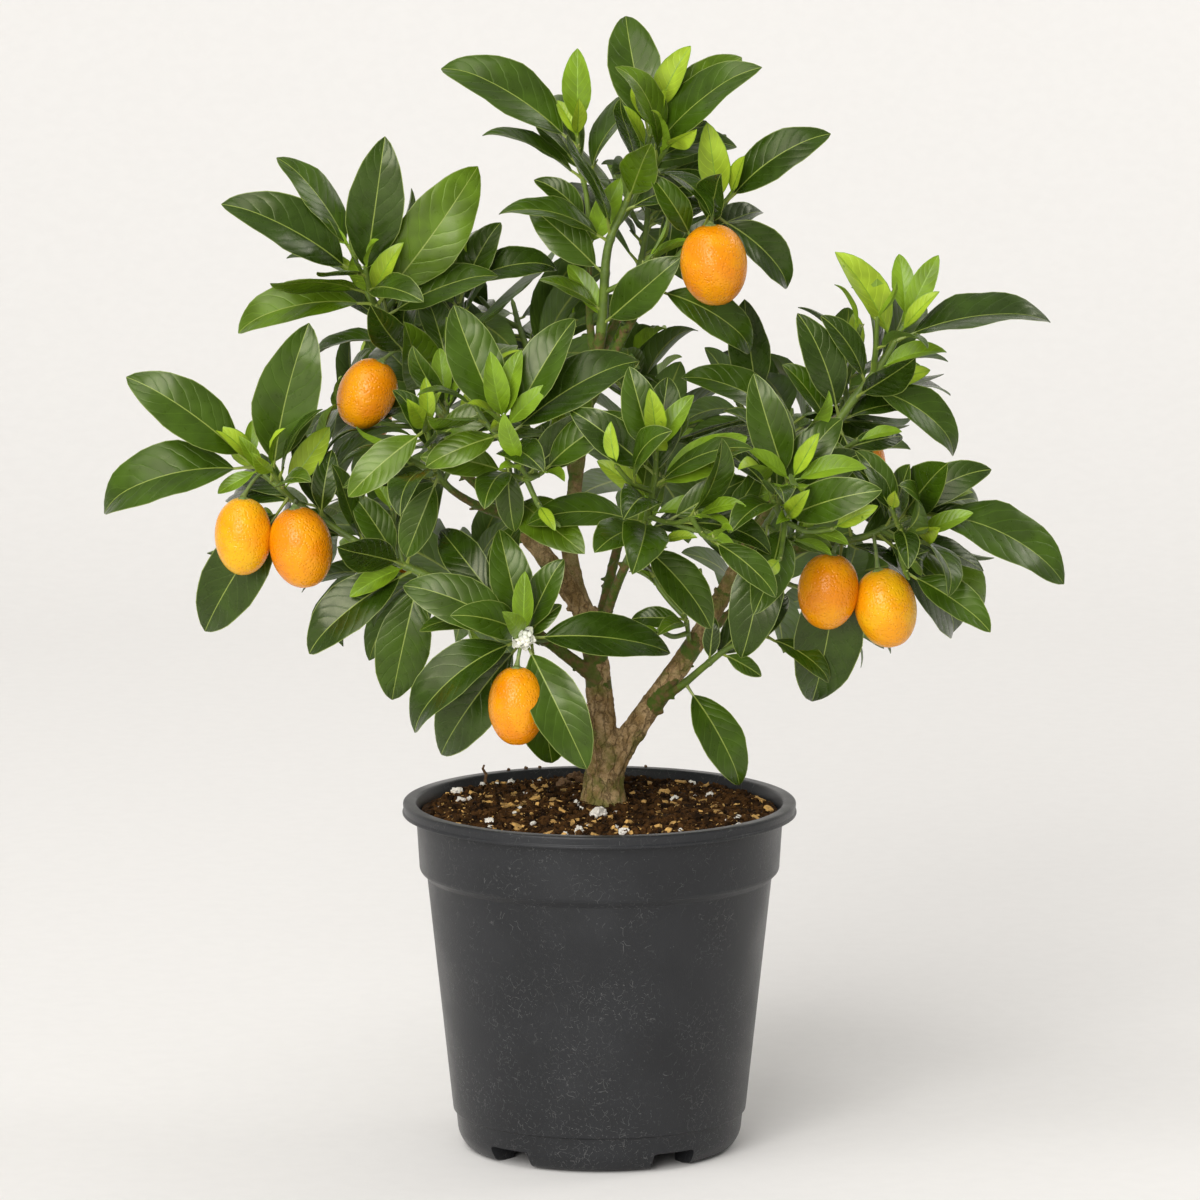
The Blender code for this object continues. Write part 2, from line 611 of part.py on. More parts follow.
def rule_leaves(name, lines, grown, seed):
    """The side twigs and the other leaves of a mass, one golden angle on from each other."""
    branch, line = BRANCHES[name], lines[name]
    dice = random.Random(seed)
    turn = dice.uniform(0, 2 * math.pi)
    stems = [(line, line.neck, branch["leaves"], 1.0)]
    twigs, leaves = [], []
    for i in range(branch["twigs"]):
        turn += GOLDEN_ANGLE
        twig = grow_twig(line, green_share(line, 0.12 + 0.7 * (i + 0.5) / branch["twigs"]), turn, dice)
        if not any(grown.touched(*twig_shape(twig, 0.25, CLEARANCE))):
            twigs.append((name, twig))
            grown.add("twig", name, *twig_shape(twig))
            stems.append((twig, 0.3, 4, 0.86))

    def try_turns(stem, share, spread, length, kind):
        for shorter in TRIAL_LENGTHS:
            for more in TRIAL_TURNS:
                leaf = rule_leaf(name, stem, share, turn + math.radians(more), spread, length * shorter,
                                 kind, dice)
                if is_clear(grown, leaf):
                    keep(grown, leaves, leaf)
                    return

    for stem, start, count, size in stems:
        for i in range(count):
            share = start + (0.94 - start) * (i + 0.4) / count
            turn += GOLDEN_ANGLE
            spread = math.radians(74 - 34 * share + dice.uniform(-8, 8))
            try_turns(stem, share, spread, dice.uniform(52, 72) * MM * size, "mature")
        for i in range(2):
            turn += GOLDEN_ANGLE
            try_turns(stem, 0.97, math.radians(dice.uniform(14, 34)), dice.uniform(20, 34) * MM, "young")
    return twigs, leaves


def grow_limbs():
    """The lines and the fruit, and what they and the pot already fill."""
    lines = limbs()
    grown = Grown()
    rim = tube([mm((0, 0, 120)), mm((0, 0, 178.5))], [RIM_RADIUS, RIM_RADIUS], 6)
    grown.add("pot", "pot", *rim)
    for name, line in lines.items():
        grown.add("limb", "wood of " + name, *limb_shape(line))
        if name != "trunk":
            grown.add("stem", name, *stem_shape(line))
    fruits = [place_fruit(lines, entry) for entry in FRUITS]
    for fruit in fruits:
        grown.add("fruit", fruit["branch"], *fruit_shape(fruit))
    return lines, fruits, grown


def grow():
    """Every line, twig, leaf and fruit. The rule is seeded, so it grows the same each time."""
    lines, fruits, grown = grow_limbs()
    twigs, leaves = [], []
    for name, branch in BRANCHES.items():
        leaves += outline_leaves(name, lines, grown, branch["seeds"][0])
    for name, branch in BRANCHES.items():
        more_twigs, more_leaves = rule_leaves(name, lines, grown, branch["seeds"][1])
        twigs += more_twigs
        leaves += more_leaves
    return lines, twigs, leaves, fruits


def material(name, colour, roughness):
    """A plain finish in the part's colour."""
    made = bpy.data.materials.new(name)
    made.use_nodes = True
    shader = made.node_tree.nodes["Principled BSDF"]
    shader.inputs["Base Color"].default_value = (*colour, 1)
    shader.inputs["Roughness"].default_value = roughness
    shader.inputs["Metallic"].default_value = 0.0
    made.diffuse_color = (*colour, 1)
    return made


def link_mesh(name, points, faces, finish, collection):
    """A new object from points and faces."""
    mesh = bpy.data.meshes.new(name)
    mesh.from_pydata([tuple(p) for p in points], [], faces)
    mesh.materials.append(finish)
    made = bpy.data.objects.new(name, mesh)
    collection.objects.link(made)
    return made


def apply_modifiers(target):
    """Replaces an object's mesh with what its modifiers make of it."""
    bpy.context.view_layer.update()
    graph = bpy.context.evaluated_depsgraph_get()
    made = bpy.data.meshes.new_from_object(target.evaluated_get(graph))
    target.modifiers.clear()
    target.data = made


def remove(objects):
    for unwanted in list(objects):
        bpy.data.objects.remove(unwanted)


def cut(target, cutters, collection):
    """Takes the cutters' shapes out of the target."""
    for i, (points, faces) in enumerate(cutters):
        tool = link_mesh(f"cutter_{i}", points, faces, target.data.materials[0], collection)
        tool.hide_render = True
        tool.display_type = "WIRE"
        boolean = target.modifiers.new("clear", "BOOLEAN")
        boolean.operation = "DIFFERENCE"
        boolean.object = tool
    apply_modifiers(target)
    remove(collection.objects)


def biggest_body(target):
    """Keeps the largest connected body of a mesh, so that scraps and sealed hollows go."""
    body = bmesh.new()
    body.from_mesh(target.data)
    bmesh.ops.dissolve_limit(body, angle_limit=math.radians(0.5), verts=body.verts, edges=body.edges)
    left, groups = set(body.verts), []
    while left:
        group, fresh = set(), [left.pop()]
        while fresh:
            vert = fresh.pop()
            group.add(vert)
            near = {edge.other_vert(vert) for edge in vert.link_edges} & left
            left -= near
            fresh += near
        groups.append(group)
    groups.sort(key=len)
    bmesh.ops.delete(body, geom=[v for group in groups[:-1] for v in group], context="VERTS")
    body.to_mesh(target.data)
    body.free()


def pot_outside():
    """(radius, height) points down the pot's outside, from the top of its rim to the inside of its feet."""
    return [
        (RIM_RADIUS - 1.2 * MM, POT_HEIGHT),
        (RIM_RADIUS, POT_HEIGHT - 1.2 * MM),
        (RIM_RADIUS - 0.4 * MM, POT_HEIGHT - RIM_DEPTH),
        (NECK_RADIUS, POT_HEIGHT - RIM_DEPTH - 0.6 * MM),
        COLLAR_FOOT,
        BODY_TOP,
        BODY_FOOT,
        RING_TOP,
        RING_FOOT,
        RING_ROUND,
        (FOOT_RADIUS, 0.0),
        (FOOT_RADIUS - FOOT_WALL, 0.0),
        (FOOT_RADIUS - FOOT_WALL, FLOOR_HEIGHT),
    ]


def pot_inside():
    """(radius, height) points up the pot's inside, from the edge of its floor to the rim."""
    return [
        (RING_FOOT[0] - WALL, FLOOR_HEIGHT + FLOOR_THICKNESS),
        (BODY_FOOT[0] - WALL, BODY_FOOT[1]),
        (BODY_TOP[0] - WALL, BODY_TOP[1]),
        (COLLAR_FOOT[0] - WALL, COLLAR_FOOT[1] + 1 * MM),
        (NECK_RADIUS - WALL, POT_HEIGHT - RIM_DEPTH),
        (NECK_RADIUS - 1.2 * MM, POT_HEIGHT - 1.6 * MM),
        (NECK_RADIUS + 0.4 * MM, POT_HEIGHT),
    ]


def turned(name, profile, finish, collection):
    """A closed solid turned about Z from (radius, height) points."""
    mesh = bpy.data.meshes.new(name)
    mesh.from_pydata([(r, 0, z) for r, z in profile], [(i, i + 1) for i in range(len(profile) - 1)], [])
    mesh.materials.append(finish)
    made = bpy.data.objects.new(name, mesh)
    collection.objects.link(made)
    screw = made.modifiers.new("turn", "SCREW")
    screw.steps = screw.render_steps = POT_SIDES
    screw.use_merge_vertices = True
    screw.merge_threshold = 0.0001
    screw.use_normal_calculate = True
    apply_modifiers(made)
    body = bmesh.new()
    body.from_mesh(made.data)
    bmesh.ops.remove_doubles(body, verts=body.verts, dist=1e-6)
    bmesh.ops.recalc_face_normals(body, faces=body.faces)
    body.to_mesh(made.data)
    body.free()
    return made


def notch_shape(turn):
    """A block that cuts one gap between two feet, out through the foot wall."""
    block = bmesh.new()
    bmesh.ops.create_cube(block, size=1)
    inner, outer = 40 * MM, 90 * MM
    place = (Matrix.Rotation(turn, 4, "Z") @ Matrix.Translation(((inner + outer) / 2, 0, 0))
             @ Matrix.Diagonal((outer - inner, NOTCH_WIDTH, 2 * (FLOOR_HEIGHT - 0.8 * MM), 1)))
    bmesh.ops.transform(block, matrix=place, verts=block.verts)
    points = [v.co.copy() for v in block.verts]
    faces = [tuple(v.index for v in f.verts) for f in block.faces]
    block.free()
    return points, faces


def make_pot(finish, collection, cutters):
    """The pot: a turned shell on a ring that five gaps part into feet, with a drain hole at each gap."""
    outside = pot_outside()
    profile = [*outside, (0, FLOOR_HEIGHT), (0, FLOOR_HEIGHT + FLOOR_THICKNESS), *pot_inside(), outside[0]]
    pot = turned("pot", profile, finish, collection)
    tools = []
    for i in range(FOOT_COUNT):
        turn = FOOT_TURN + (i + 0.5) * 2 * math.pi / FOOT_COUNT
        tools.append(notch_shape(turn))
        hole = DRAIN_CIRCLE * Vector((math.cos(turn), math.sin(turn), 0))
        ends = [hole + Vector((0, 0, 5 * MM)), hole + Vector((0, 0, 20 * MM))]
        tools.append(tube(ends, [DRAIN_RADIUS, DRAIN_RADIUS], 3))
    cut(pot, tools, cutters)
    biggest_body(pot)
    return pot


def make_soil(finish, collection):
    """The compost, clear of the pot's wall all the way up and heaped to a flat at the trunk."""
    clear = GAP * 1.5
    wall = [(r - clear, z + clear) for r, z in pot_inside()[:4]]
    edge = NECK_RADIUS - WALL - clear
    rise = SOIL_CENTRE_HEIGHT - SOIL_EDGE_HEIGHT
    heap = [(edge * 0.28, SOIL_CENTRE_HEIGHT), (edge * 0.62, SOIL_EDGE_HEIGHT + 0.62 * rise),
            (edge - 4 * MM, SOIL_EDGE_HEIGHT)]
    floor = FLOOR_HEIGHT + FLOOR_THICKNESS + clear
    return turned("soil", [(0, SOIL_CENTRE_HEIGHT), *heap, (edge, SOIL_EDGE_HEIGHT - 1.5 * MM),
                           *reversed(wall), (0, floor)], finish, collection)


def make_limb(name, lines, finish, collection, cutters):
    """The trunk, or a bough that is cut clear of its parent and of the limbs beside its root."""
    points, faces = limb_shape(lines[name])
    limb = link_mesh(name, points, faces, finish, collection)
    if name == "trunk":
        level_foot(limb)
        return limb
    own = BVHTree.FromPolygons(points, faces)
    earlier = list(lines)[:list(lines).index(name)]
    shapes = [limb_shape(lines[other], GAP) for other in earlier]
    tools = [shape for shape in shapes if own.overlap(BVHTree.FromPolygons(*shape))]
    if tools:
        cut(limb, tools, cutters)
    biggest_body(limb)
    return limb


def level_foot(trunk):
    """Sets the trunk's lowest ring level, as a flat cut at the compost."""
    foot = TRUNK["wood"][0][2] * MM
    for vert in trunk.data.vertices:
        if vert.co.z < foot + 0.4 * MM:
            vert.co.z = foot


def make_mass(name, lines, twigs, leaves, fruits, finish, collection, cutters):
    """One mass of foliage: its stem, fused with its twigs, leaves and fruit by one union."""
    mass = link_mesh("leaves_" + name, *stem_shape(lines[name]), finish, collection)
    shapes = [twig_shape(twig) for owner, twig in twigs if owner == name]
    shapes += [leaf.solid() for leaf in leaves if leaf.branch == name]
    for fruit in fruits:
        if fruit["branch"] == name:
            shapes += [fruit_shape(fruit), fruit_stalk_shape(fruit)]
    for i, (points, faces) in enumerate(shapes):
        link_mesh(f"shape_{i}", points, faces, finish, cutters)
    union = mass.modifiers.new("fuse", "BOOLEAN")
    union.operation = "UNION"
    union.operand_type = "COLLECTION"
    union.collection = cutters
    apply_modifiers(mass)
    remove(cutters.objects)
    biggest_body(mass)
    return mass


def smooth(made):
    """Shades a round piece smooth and keeps its true edges sharp."""
    made.data.shade_smooth()
    made.data.set_sharp_from_angle(angle=math.radians(35))


def centre_on_origin(objects):
    """Moves everything sideways, so that the origin is under the middle of the whole box."""
    corners = [v.co for o in objects for v in o.data.vertices]
    middle = [(min(c[i] for c in corners) + max(c[i] for c in corners)) / 2 for i in range(2)]
    for each in objects:
        each.data.transform(Matrix.Translation((-middle[0], -middle[1], 0)))


def main():
    remove(bpy.data.objects)
    scene = bpy.context.scene.collection
    tree = bpy.data.collections.new("kumquat_tree")
    cutters = bpy.data.collections.new("cutters")
    scene.children.link(tree)
    scene.children.link(cutters)
    bark = material("bark", BARK, 0.85)
    green_wood = material("green_wood", GREEN_WOOD, 0.6)
    foliage = material("foliage", FOLIAGE, 0.35)

    smooth(make_pot(material("pot_plastic", POT_GREY, 0.5), tree, cutters))
    smooth(make_soil(material("compost", COMPOST, 0.95), tree))
    lines, twigs, leaves, fruits = grow()
    for name, line in lines.items():
        smooth(make_limb(name, lines, green_wood if line.radius(0) < 2.5 * MM else bark, tree, cutters))
    for name in BRANCHES:
        make_mass(name, lines, twigs, leaves, fruits, foliage, tree, cutters)
    centre_on_origin(tree.objects)
    print("leaves", len(leaves), "twigs", len(twigs), "fruits", len(fruits))


if __name__ == "__main__":
    main()
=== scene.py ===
"""The looks of a potted kumquat tree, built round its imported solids.

It is laid out as an add-on and run as a script. The tree is grown by the same seeded rule as the solids,
about the pot's axis and in metres, and each finished mesh is then moved to where the solids stand. Every
mass of foliage is carried on to finer twigs and leaves that stay within the mass's own box.
"""

import json
import math
import random

import bmesh
import bpy
import numpy as np
from bpy.props import FloatProperty, FloatVectorProperty, IntProperty, PointerProperty
from bpy.types import Operator, Panel, PropertyGroup
from mathutils import Matrix, Vector, kdtree, noise
from mathutils.bvhtree import BVHTree

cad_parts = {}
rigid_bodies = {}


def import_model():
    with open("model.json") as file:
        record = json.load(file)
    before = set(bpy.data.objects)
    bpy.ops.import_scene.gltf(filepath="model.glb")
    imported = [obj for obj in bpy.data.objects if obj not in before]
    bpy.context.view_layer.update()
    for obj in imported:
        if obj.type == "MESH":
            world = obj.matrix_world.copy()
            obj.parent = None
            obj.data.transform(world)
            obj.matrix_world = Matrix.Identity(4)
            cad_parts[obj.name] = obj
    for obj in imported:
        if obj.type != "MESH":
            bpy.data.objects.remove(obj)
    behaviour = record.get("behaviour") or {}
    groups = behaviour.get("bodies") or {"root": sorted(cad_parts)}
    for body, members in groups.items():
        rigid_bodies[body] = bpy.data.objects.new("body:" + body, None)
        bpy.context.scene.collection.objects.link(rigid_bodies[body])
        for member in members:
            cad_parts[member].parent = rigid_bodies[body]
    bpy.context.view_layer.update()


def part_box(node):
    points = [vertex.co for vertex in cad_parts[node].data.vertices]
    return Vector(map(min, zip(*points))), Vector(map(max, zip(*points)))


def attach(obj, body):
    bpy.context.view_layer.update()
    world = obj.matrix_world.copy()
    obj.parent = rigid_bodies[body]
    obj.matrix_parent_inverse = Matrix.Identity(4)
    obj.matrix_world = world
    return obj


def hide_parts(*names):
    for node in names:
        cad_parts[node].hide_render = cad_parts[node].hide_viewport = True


bl_info = {
    "name": "Potted kumquat",
    "version": (1, 0, 0),
    "blender": (4, 5, 0),
    "location": "3D View > Sidebar > Kumquat",
    "description": "Grows a kumquat tree in its nursery pot, and sets its stage",
    "category": "Object",
}

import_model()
POT_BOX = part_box("pot")
AXIS = Vector(((POT_BOX[0].x + POT_BOX[1].x) / 2, (POT_BOX[0].y + POT_BOX[1].y) / 2, 0))

MM = 0.001
GAP = 0.3 * MM
GOLDEN_ANGLE = math.radians(137.5)

# The compost's surface, and the pot's bore where the compost meets it
SOIL_EDGE_HEIGHT = 173.5 * MM
SOIL_CENTRE_HEIGHT = 176.5 * MM
RIM_RADIUS = 100 * MM
SOIL_RADIUS = 90.6 * MM

# Leaves. Lengths run from the twig to the leaf's tip, stalk included.
LEAF_STALK_SHARE = 0.13
ROOT_SINK = 1.0 * MM
LEAF_WIDTH_SHARE = 0.36
LEAF_THICKNESS_SHARE = 0.018
LEAF_OUTLINE = ((0.4, 0.96), (0.72, 0.8))
YOUNG_OUTLINE = ((0.52, 1.0),)
LEAF_FOLD = 0.14
CLEARANCE = 0.5 * MM
TRIAL_TURNS = (0, 24, -24, 48, -48, 76, -76, 104)
TRIAL_LENGTHS = (1.0, 0.85)
BLOSSOM_BRANCH = "front_low"

# The camera, about the pot's axis: how far in front it stands, how high, the height that it looks at, its
# focal length in millimetres, and the half pixel that the photo's middle lies off
CAMERA_AWAY = 4.0
CAMERA_HEIGHT = 0.924
CAMERA_AIM = 0.281
CAMERA_LENS = 240.4
CAMERA_SHIFT = 0.5 / 1200

# The stage: where its floor starts and turns up, where the backdrop stands, its height and half its width
FLOOR_FRONT = -8.0
FLOOR_BACK = 1.6
BACKDROP = 3.0
BACKDROP_HEIGHT = 5.0
STAGE_HALF_WIDTH = 5.0
LIGHT_COLOUR = (1.0, 0.985, 0.96)

# How many of a leaf's forty spots may lie over an opening, over shown wood, or over a fruit. A leaf of the
# outline may hide more of a fruit.
SPOTS_OVER_SKY = 5
SPOTS_OVER_WOOD = 2
SPOTS_OVER_FRUIT = 2
OUTLINE_OVER_FRUIT = 9

# Where the sky shows through the crown: places on the upright plane through the trunk as the camera sees
# it, and how wide each opening is from its middle, in millimetres
OPENINGS = (
    (92, 491, 14), (101, 478, 12), (105, 505, 11), (68, 482, 6), (5, 541, 8), (-30, 503, 12),
    (-44, 464, 8), (-38, 436, 8), (-32, 460, 7), (91, 421, 13), (105, 390, 8), (53, 395, 6),
    (-128, 424, 8), (-139, 397, 9), (-142, 386, 9), (-132, 404, 7), (154, 354, 9), (35, 286, 7),
    (100, 266, 9), (82, 238, 15), (-5, 319, 5), (-7, 292, 4), (-26, 273, 4), (33, 319, 4),
    (-99, 345, 4), (-74, 340, 4), (34, 288, 6), (-37, 436, 8), (-44, 513, 11), (-27, 506, 9),
    (-103, 490, 7), (-109, 475, 7), (-54, 469, 7), (-126, 423, 7), (-71, 319, 6), (52, 396, 5),
    (58, 262, 5), (77, 244, 8), (106, 264, 7), (110, 439, 11),
)

# Where wood shows between the leaves, in the same way
SHOWN_WOOD = (
    (-12, 353, 5), (-14, 340, 5), (-65, 347, 5), (-53, 328, 5), (-63, 326, 4), (-31, 307, 6),
    (-20, 294, 6), (-14, 280, 6), (-7, 262, 6), (-1, 243, 6), (3, 299, 5), (12, 299, 5), (8, 285, 5),
    (46, 276, 6), (61, 286, 6), (51, 301, 5), (0, 434, 5), (4, 413, 5), (10, 451, 5), (28, 477, 5),
    (96, 347, 5), (109, 363, 5), (126, 386, 5),
)

# The limbs, in millimetres about the pot's axis. A line runs through its wood points and then its green
# ones. "fan" and "young" are the leaves of the crown's outline: the share of the green stem where each
# sits, its heading in degrees, its length, and where they matter the turn of its face up to the sky, its
# bend and its lean. "leaves" and "twigs" count what the rule adds. The seeds are for the outline's
# leaves, for the rule's growth and for the finer growth.
TRUNK = {"wood": ((2, 3, 176.8), (2, 3, 185), (3, 3, 195), (5, 3, 208)), "thick": (23, 20, 20, 19)}
BRANCHES = {
    "left_bough": {
        "wood": ((4, 3, 198), (1, 3, 221), (-3, 0, 258), (-12, -2, 282), (-43, -4, 324), (-80, 3, 377)),
        "green": ((-95, 8, 402), (-108, 8, 423), (-120, 6, 443), (-125, 2, 465)),
        "thick": (15, 5.6, 2.8),
        "fan": ((0.8, 151, 80, 35, 25), (0.9, 129, 64, 68, 25), (0.74, 81, 79, 12, 14),
                (0.63, 191, 74, 52, 50),
                (0.62, 51, 88, 10, 16, 4), (0.55, 25, 63, 40, 30), (0.03, 201, 64, 62, 58, 12),
                (0.38, 189, 50, 74, 45)),
        "young": ((0.66, 63, 38), (0.68, 112, 28), (0.95, 150, 22), (1.0, 62, 26)),
        "leaves": 4, "twigs": 1, "seeds": (11, 130, 7),
    },
    "leader": {
        "wood": ((-8, -1, 274), (-15, 4, 304), (-12, 8, 341), (-6, 8, 379), (1, 5, 418)),
        "green": ((4, 0, 459), (13, -2, 482), (22, -3, 505), (28, -4, 527)),
        "thick": (9, 5.4, 2.6),
        "fan": ((0.9, 103, 66, 0, 20, -26), (0.9, 42, 62, 20, 18), (0.8, 42, 82, 55, 16, 8),
                (0.55, 14, 52, 50, 40), (0.74, 16, 52, 64, 42), (0.4, 163, 60, 58, 45),
                (0.25, 139, 52, 25, 25), (0.08, 152, 38, 60, 40), (0.02, 42, 58, 20, 25, 16)),
        "young": ((1.0, 66, 40), (0.85, 120, 26), (0.04, 118, 34)),
        "leaves": 5, "twigs": 1, "seeds": (5, 117, 14),
    },
    "leader_side": {
        "wood": ((-2, 6, 396), (-5, 12, 423), (-5, 13, 450)),
        "green": ((-6, 11, 481), (-10, 8, 502), (-11, 6, 518)),
        "thick": (4.4, 3.2, 2.2),
        "fan": ((0.88, 148, 82, 50, 35), (0.64, 151, 58, 70, 25), (0.6, 38, 76, 64, 68, 10),
                (0.3, 138, 36, 45, 30)),
        "young": ((1.0, 90, 42, 10, 12), (0.95, 118, 22), (0.12, 66, 40, 10, 14)),
        "leaves": 2, "twigs": 0, "seeds": (8, 85, 9),
    },
    "upper_right": {
        "wood": ((-5, 8, 382), (10, 4, 411), (25, -4, 439)),
        "green": ((45, -10, 463), (60, -14, 481), (68, -16, 492)),
        "thick": (5.6, 4.2, 2.4),
        "fan": ((0.85, 36, 66, 42, 35), (0.75, 318, 56, 35, 35, -6), (0.03, 328, 64, 40, 45),
                (0.5, 122, 42, 30, 25)),
        "young": ((0.8, 98, 46), (0.95, 52, 28)),
        "leaves": 2, "twigs": 0, "seeds": (21, 154, 18),
    },
    "right_bough": {
        "wood": ((6, 3, 197), (27, 0, 228), (45, -6, 255), (63, -12, 287), (74, -15, 309),
                 (96, -14, 344)),
        "green": ((113, -10, 364), (129, -6, 386), (144, -2, 405), (154, 2, 423)),
        "thick": (13, 6, 2.8),
        "fan": ((0.88, 7, 83, 60, 52), (0.6, 327, 62, 50, 58), (0.4, 108, 59, 40, 22),
                (0.38, 290, 58, 35, 35), (0.62, 124, 44, 55, 50), (0.33, 128, 42, 60, 30)),
        "young": ((0.87, 121, 56, 50, 14), (0.97, 64, 40, 20, 12), (0.72, 15, 36), (1.0, 95, 34),
                  (0.93, 47, 30), (0.62, 8, 34)),
        "leaves": 3, "twigs": 1, "seeds": (31, 45, 6),
    },
    "lower_left": {
        "wood": ((-3, 0, 242), (-35, -22, 270), (-60, -30, 286), (-85, -32, 298)),
        "green": ((-112, -30, 310), (-131, -28, 321), (-155, -24, 337), (-175, -20, 354)),
        "thick": (6.5, 4.4, 2.4),
        "fan": ((0.97, 195, 84, 46, 40), (0.98, 144, 79, 34, 25), (0.87, 80, 84, 10, 12),
                (0.76, 236, 86, 10, 15, -12), (0.08, 214, 70, 34, 42), (0.05, 257, 69, 10, 20),
                (0.12, 69, 55), (0.16, 123, 42), (0.58, 80, 36)),
        "young": ((0.8, 51, 40, 10, 14), (0.97, 131, 30), (1.0, 88, 22), (0.12, 203, 34, 30, 20, 16),
                  (0.95, 212, 24)),
        "leaves": 3, "twigs": 1, "seeds": (41, 181, 16),
    },
    "front_low": {
        "wood": ((-26, -15, 262), (-33, -38, 267)),
        "green": ((-36, -56, 271), (-38, -75, 274)),
        "thick": (3.6, 3.2, 2.6),
        "fan": ((0.9, 153, 66, 30, 25), (0.9, 218, 77, 50, 58), (0.75, 233, 78, 18, 24),
                (0.95, 297, 73, 10, 20), (0.85, 352, 76, 42, 40), (0.7, 104, 56, 10, 20),
                (0.8, 65, 46, 55, 20), (0.75, 43, 26), (0.2, 279, 70, 10, 15, -14)),
        "young": ((1.0, 88, 34),),
        "leaves": 1, "twigs": 0, "seeds": (51, 296, 1),
    },
    "left_middle": {
        "wood": ((-43, -4, 323), (-61, -25, 333), (-75, -45, 345)),
        "green": ((-82, -58, 358), (-85, -67, 378)),
        "thick": (5, 3.6, 2.4),
        "fan": ((1.0, 221, 53, 35, 34), (0.8, 29, 42, 30, 25), (0.3, 250, 46), (0.6, 118, 40)),
        "young": ((1.0, 90, 26),),
        "leaves": 3, "twigs": 1, "seeds": (61, 187, 13),
    },
    "front_left": {
        "wood": ((-40, -4, 319), (-42, -34, 335)),
        "green": ((-45, -68, 358), (-47, -90, 384)),
        "thick": (4.8, 3.6, 2.4),
        "fan": ((0.95, 115, 66, 12, 20), (0.9, 57, 67, 40, 22), (0.86, 30, 78, 45, 34), (0.9, 205, 44),
                (0.62, 272, 36, 10, 20), (0.5, 168, 46)),
        "young": ((1.0, 80, 38), (1.0, 104, 38), (0.95, 45, 32)),
        "leaves": 3, "twigs": 1, "seeds": (71, 127, 6),
    },
    "front_centre": {
        "wood": ((-2, -1, 253), (6, -25, 285), (14, -50, 309)),
        "green": ((23, -75, 333), (27, -90, 355), (28, -98, 374)),
        "thick": (5.4, 4.4, 2.6),
        "fan": ((0.22, 314, 58, 35, 30), (0.4, 180, 60, 54, 45), (0.8, 143, 54, 25, 25), (0.35, 4, 44),
                (0.9, 107, 50, 15, 20)),
        "young": ((0.7, 28, 53, 25, 16), (0.95, 60, 34), (1.0, 95, 32), (0.6, 145, 34),
                  (0.5, 353, 40, 45, 36)),
        "leaves": 3, "twigs": 1, "seeds": (81, 165, 2),
    },
    "right_middle": {
        "wood": ((76, -15, 311), (83, -40, 325)),
        "green": ((89, -60, 339), (95, -75, 353)),
        "thick": (4.6, 3.6, 2.4),
        "fan": ((0.9, 109, 60, 10, 20), (0.1, 262, 70, 14, 20, 6), (0.6, 200, 38), (0.7, 55, 50),
                (0.5, 92, 58, 15, 20, -24)),
        "young": ((1.0, 12, 38), (0.95, 205, 30), (1.0, 143, 30), (0.95, 330, 34), (1.0, 60, 28)),
        "leaves": 2, "twigs": 1, "seeds": (91, 105, 15),
    },
    "lower_right": {
        "wood": ((70, -13, 302), (96, -25, 310), (115, -32, 315)),
        "green": ((133, -36, 319), (149, -40, 327), (168, -42, 336)),
        "thick": (5.4, 4.4, 2.4),
        "fan": ((0.8, 336, 88, 58, 66), (0.5, 318, 71, 52, 58), (0.42, 308, 84, 46, 50, -6),
                (0.12, 262, 88, 10, 14, -8), (0.2, 101, 52), (0.62, 30, 56, 45, 40), (0.85, 350, 34)),
        "young": ((0.72, 78, 26), (0.95, 60, 24)),
        "leaves": 2, "twigs": 1, "seeds": (101, 311, 24),
    },
    "low_side": {
        "wood": ((27, 0, 227), (41, -13, 239)),
        "green": ((54, -24, 252), (67, -32, 263), (83, -38, 269)),
        "thick": (4.8, 4, 2.4),
        "fan": ((0.06, 299, 61, 42, 42), (1.0, 322, 42, 55, 40), (0.4, 85, 24), (0.55, 330, 24)),
        "leaves": 1, "twigs": 0, "seeds": (111, 223, 0),
    },
    "small_spur": {
        "wood": ((46, -6, 255), (45, -15, 264)),
        "green": ((44, -22, 272), (42, -27, 280)),
        "thick": (3, 2.6, 2),
        "fan": ((0.7, 178, 28), (0.9, 70, 26)),
        "leaves": 1, "twigs": 0, "seeds": (121, 247, 6),
    },
    "left_high": {
        "wood": ((-60, -2, 348), (-62, 16, 373), (-66, 28, 400)),
        "green": ((-70, 34, 420), (-73, 36, 440)),
        "thick": (4.6, 3.4, 2.2),
        "fan": ((0.9, 12, 54, 50, 40), (0.7, 66, 48), (0.6, 128, 50)),
        "young": ((1.0, 84, 30),),
        "leaves": 5, "twigs": 1, "seeds": (131, 313, 18),
    },
    "right_high": {
        "wood": ((84, -15, 325), (90, 4, 343), (93, 15, 355)),
        "green": ((96, 25, 365), (98, 34, 374)),
        "thick": (4.4, 3.4, 2.2),
        "fan": ((0.7, 156, 62, 40, 35),),
        "leaves": 5, "twigs": 1, "seeds": (141, 162, 6),
    },
    "back_top": {
        "wood": ((-12, 8, 343), (-22, 36, 370), (-32, 62, 390)),
        "green": ((-40, 84, 406), (-45, 98, 422)),
        "thick": (5.4, 4, 2.4),
        "leaves": 8, "twigs": 2, "seeds": (151, 389, 15),
    },
    "back_high": {
        "wood": ((-2, 8, 400), (12, 28, 426), (20, 42, 444)),
        "green": ((24, 54, 466), (25, 60, 486)),
        "thick": (4.6, 3.4, 2.2),
        "leaves": 7, "twigs": 1, "seeds": (155, 351, 16),
    },
    "back_left": {
        "wood": ((-26, -3, 300), (-54, 38, 326), (-84, 76, 348)),
        "green": ((-106, 104, 366), (-122, 120, 388)),
        "thick": (5.6, 4, 2.4),
        "leaves": 8, "twigs": 2, "seeds": (161, 378, 17),
    },
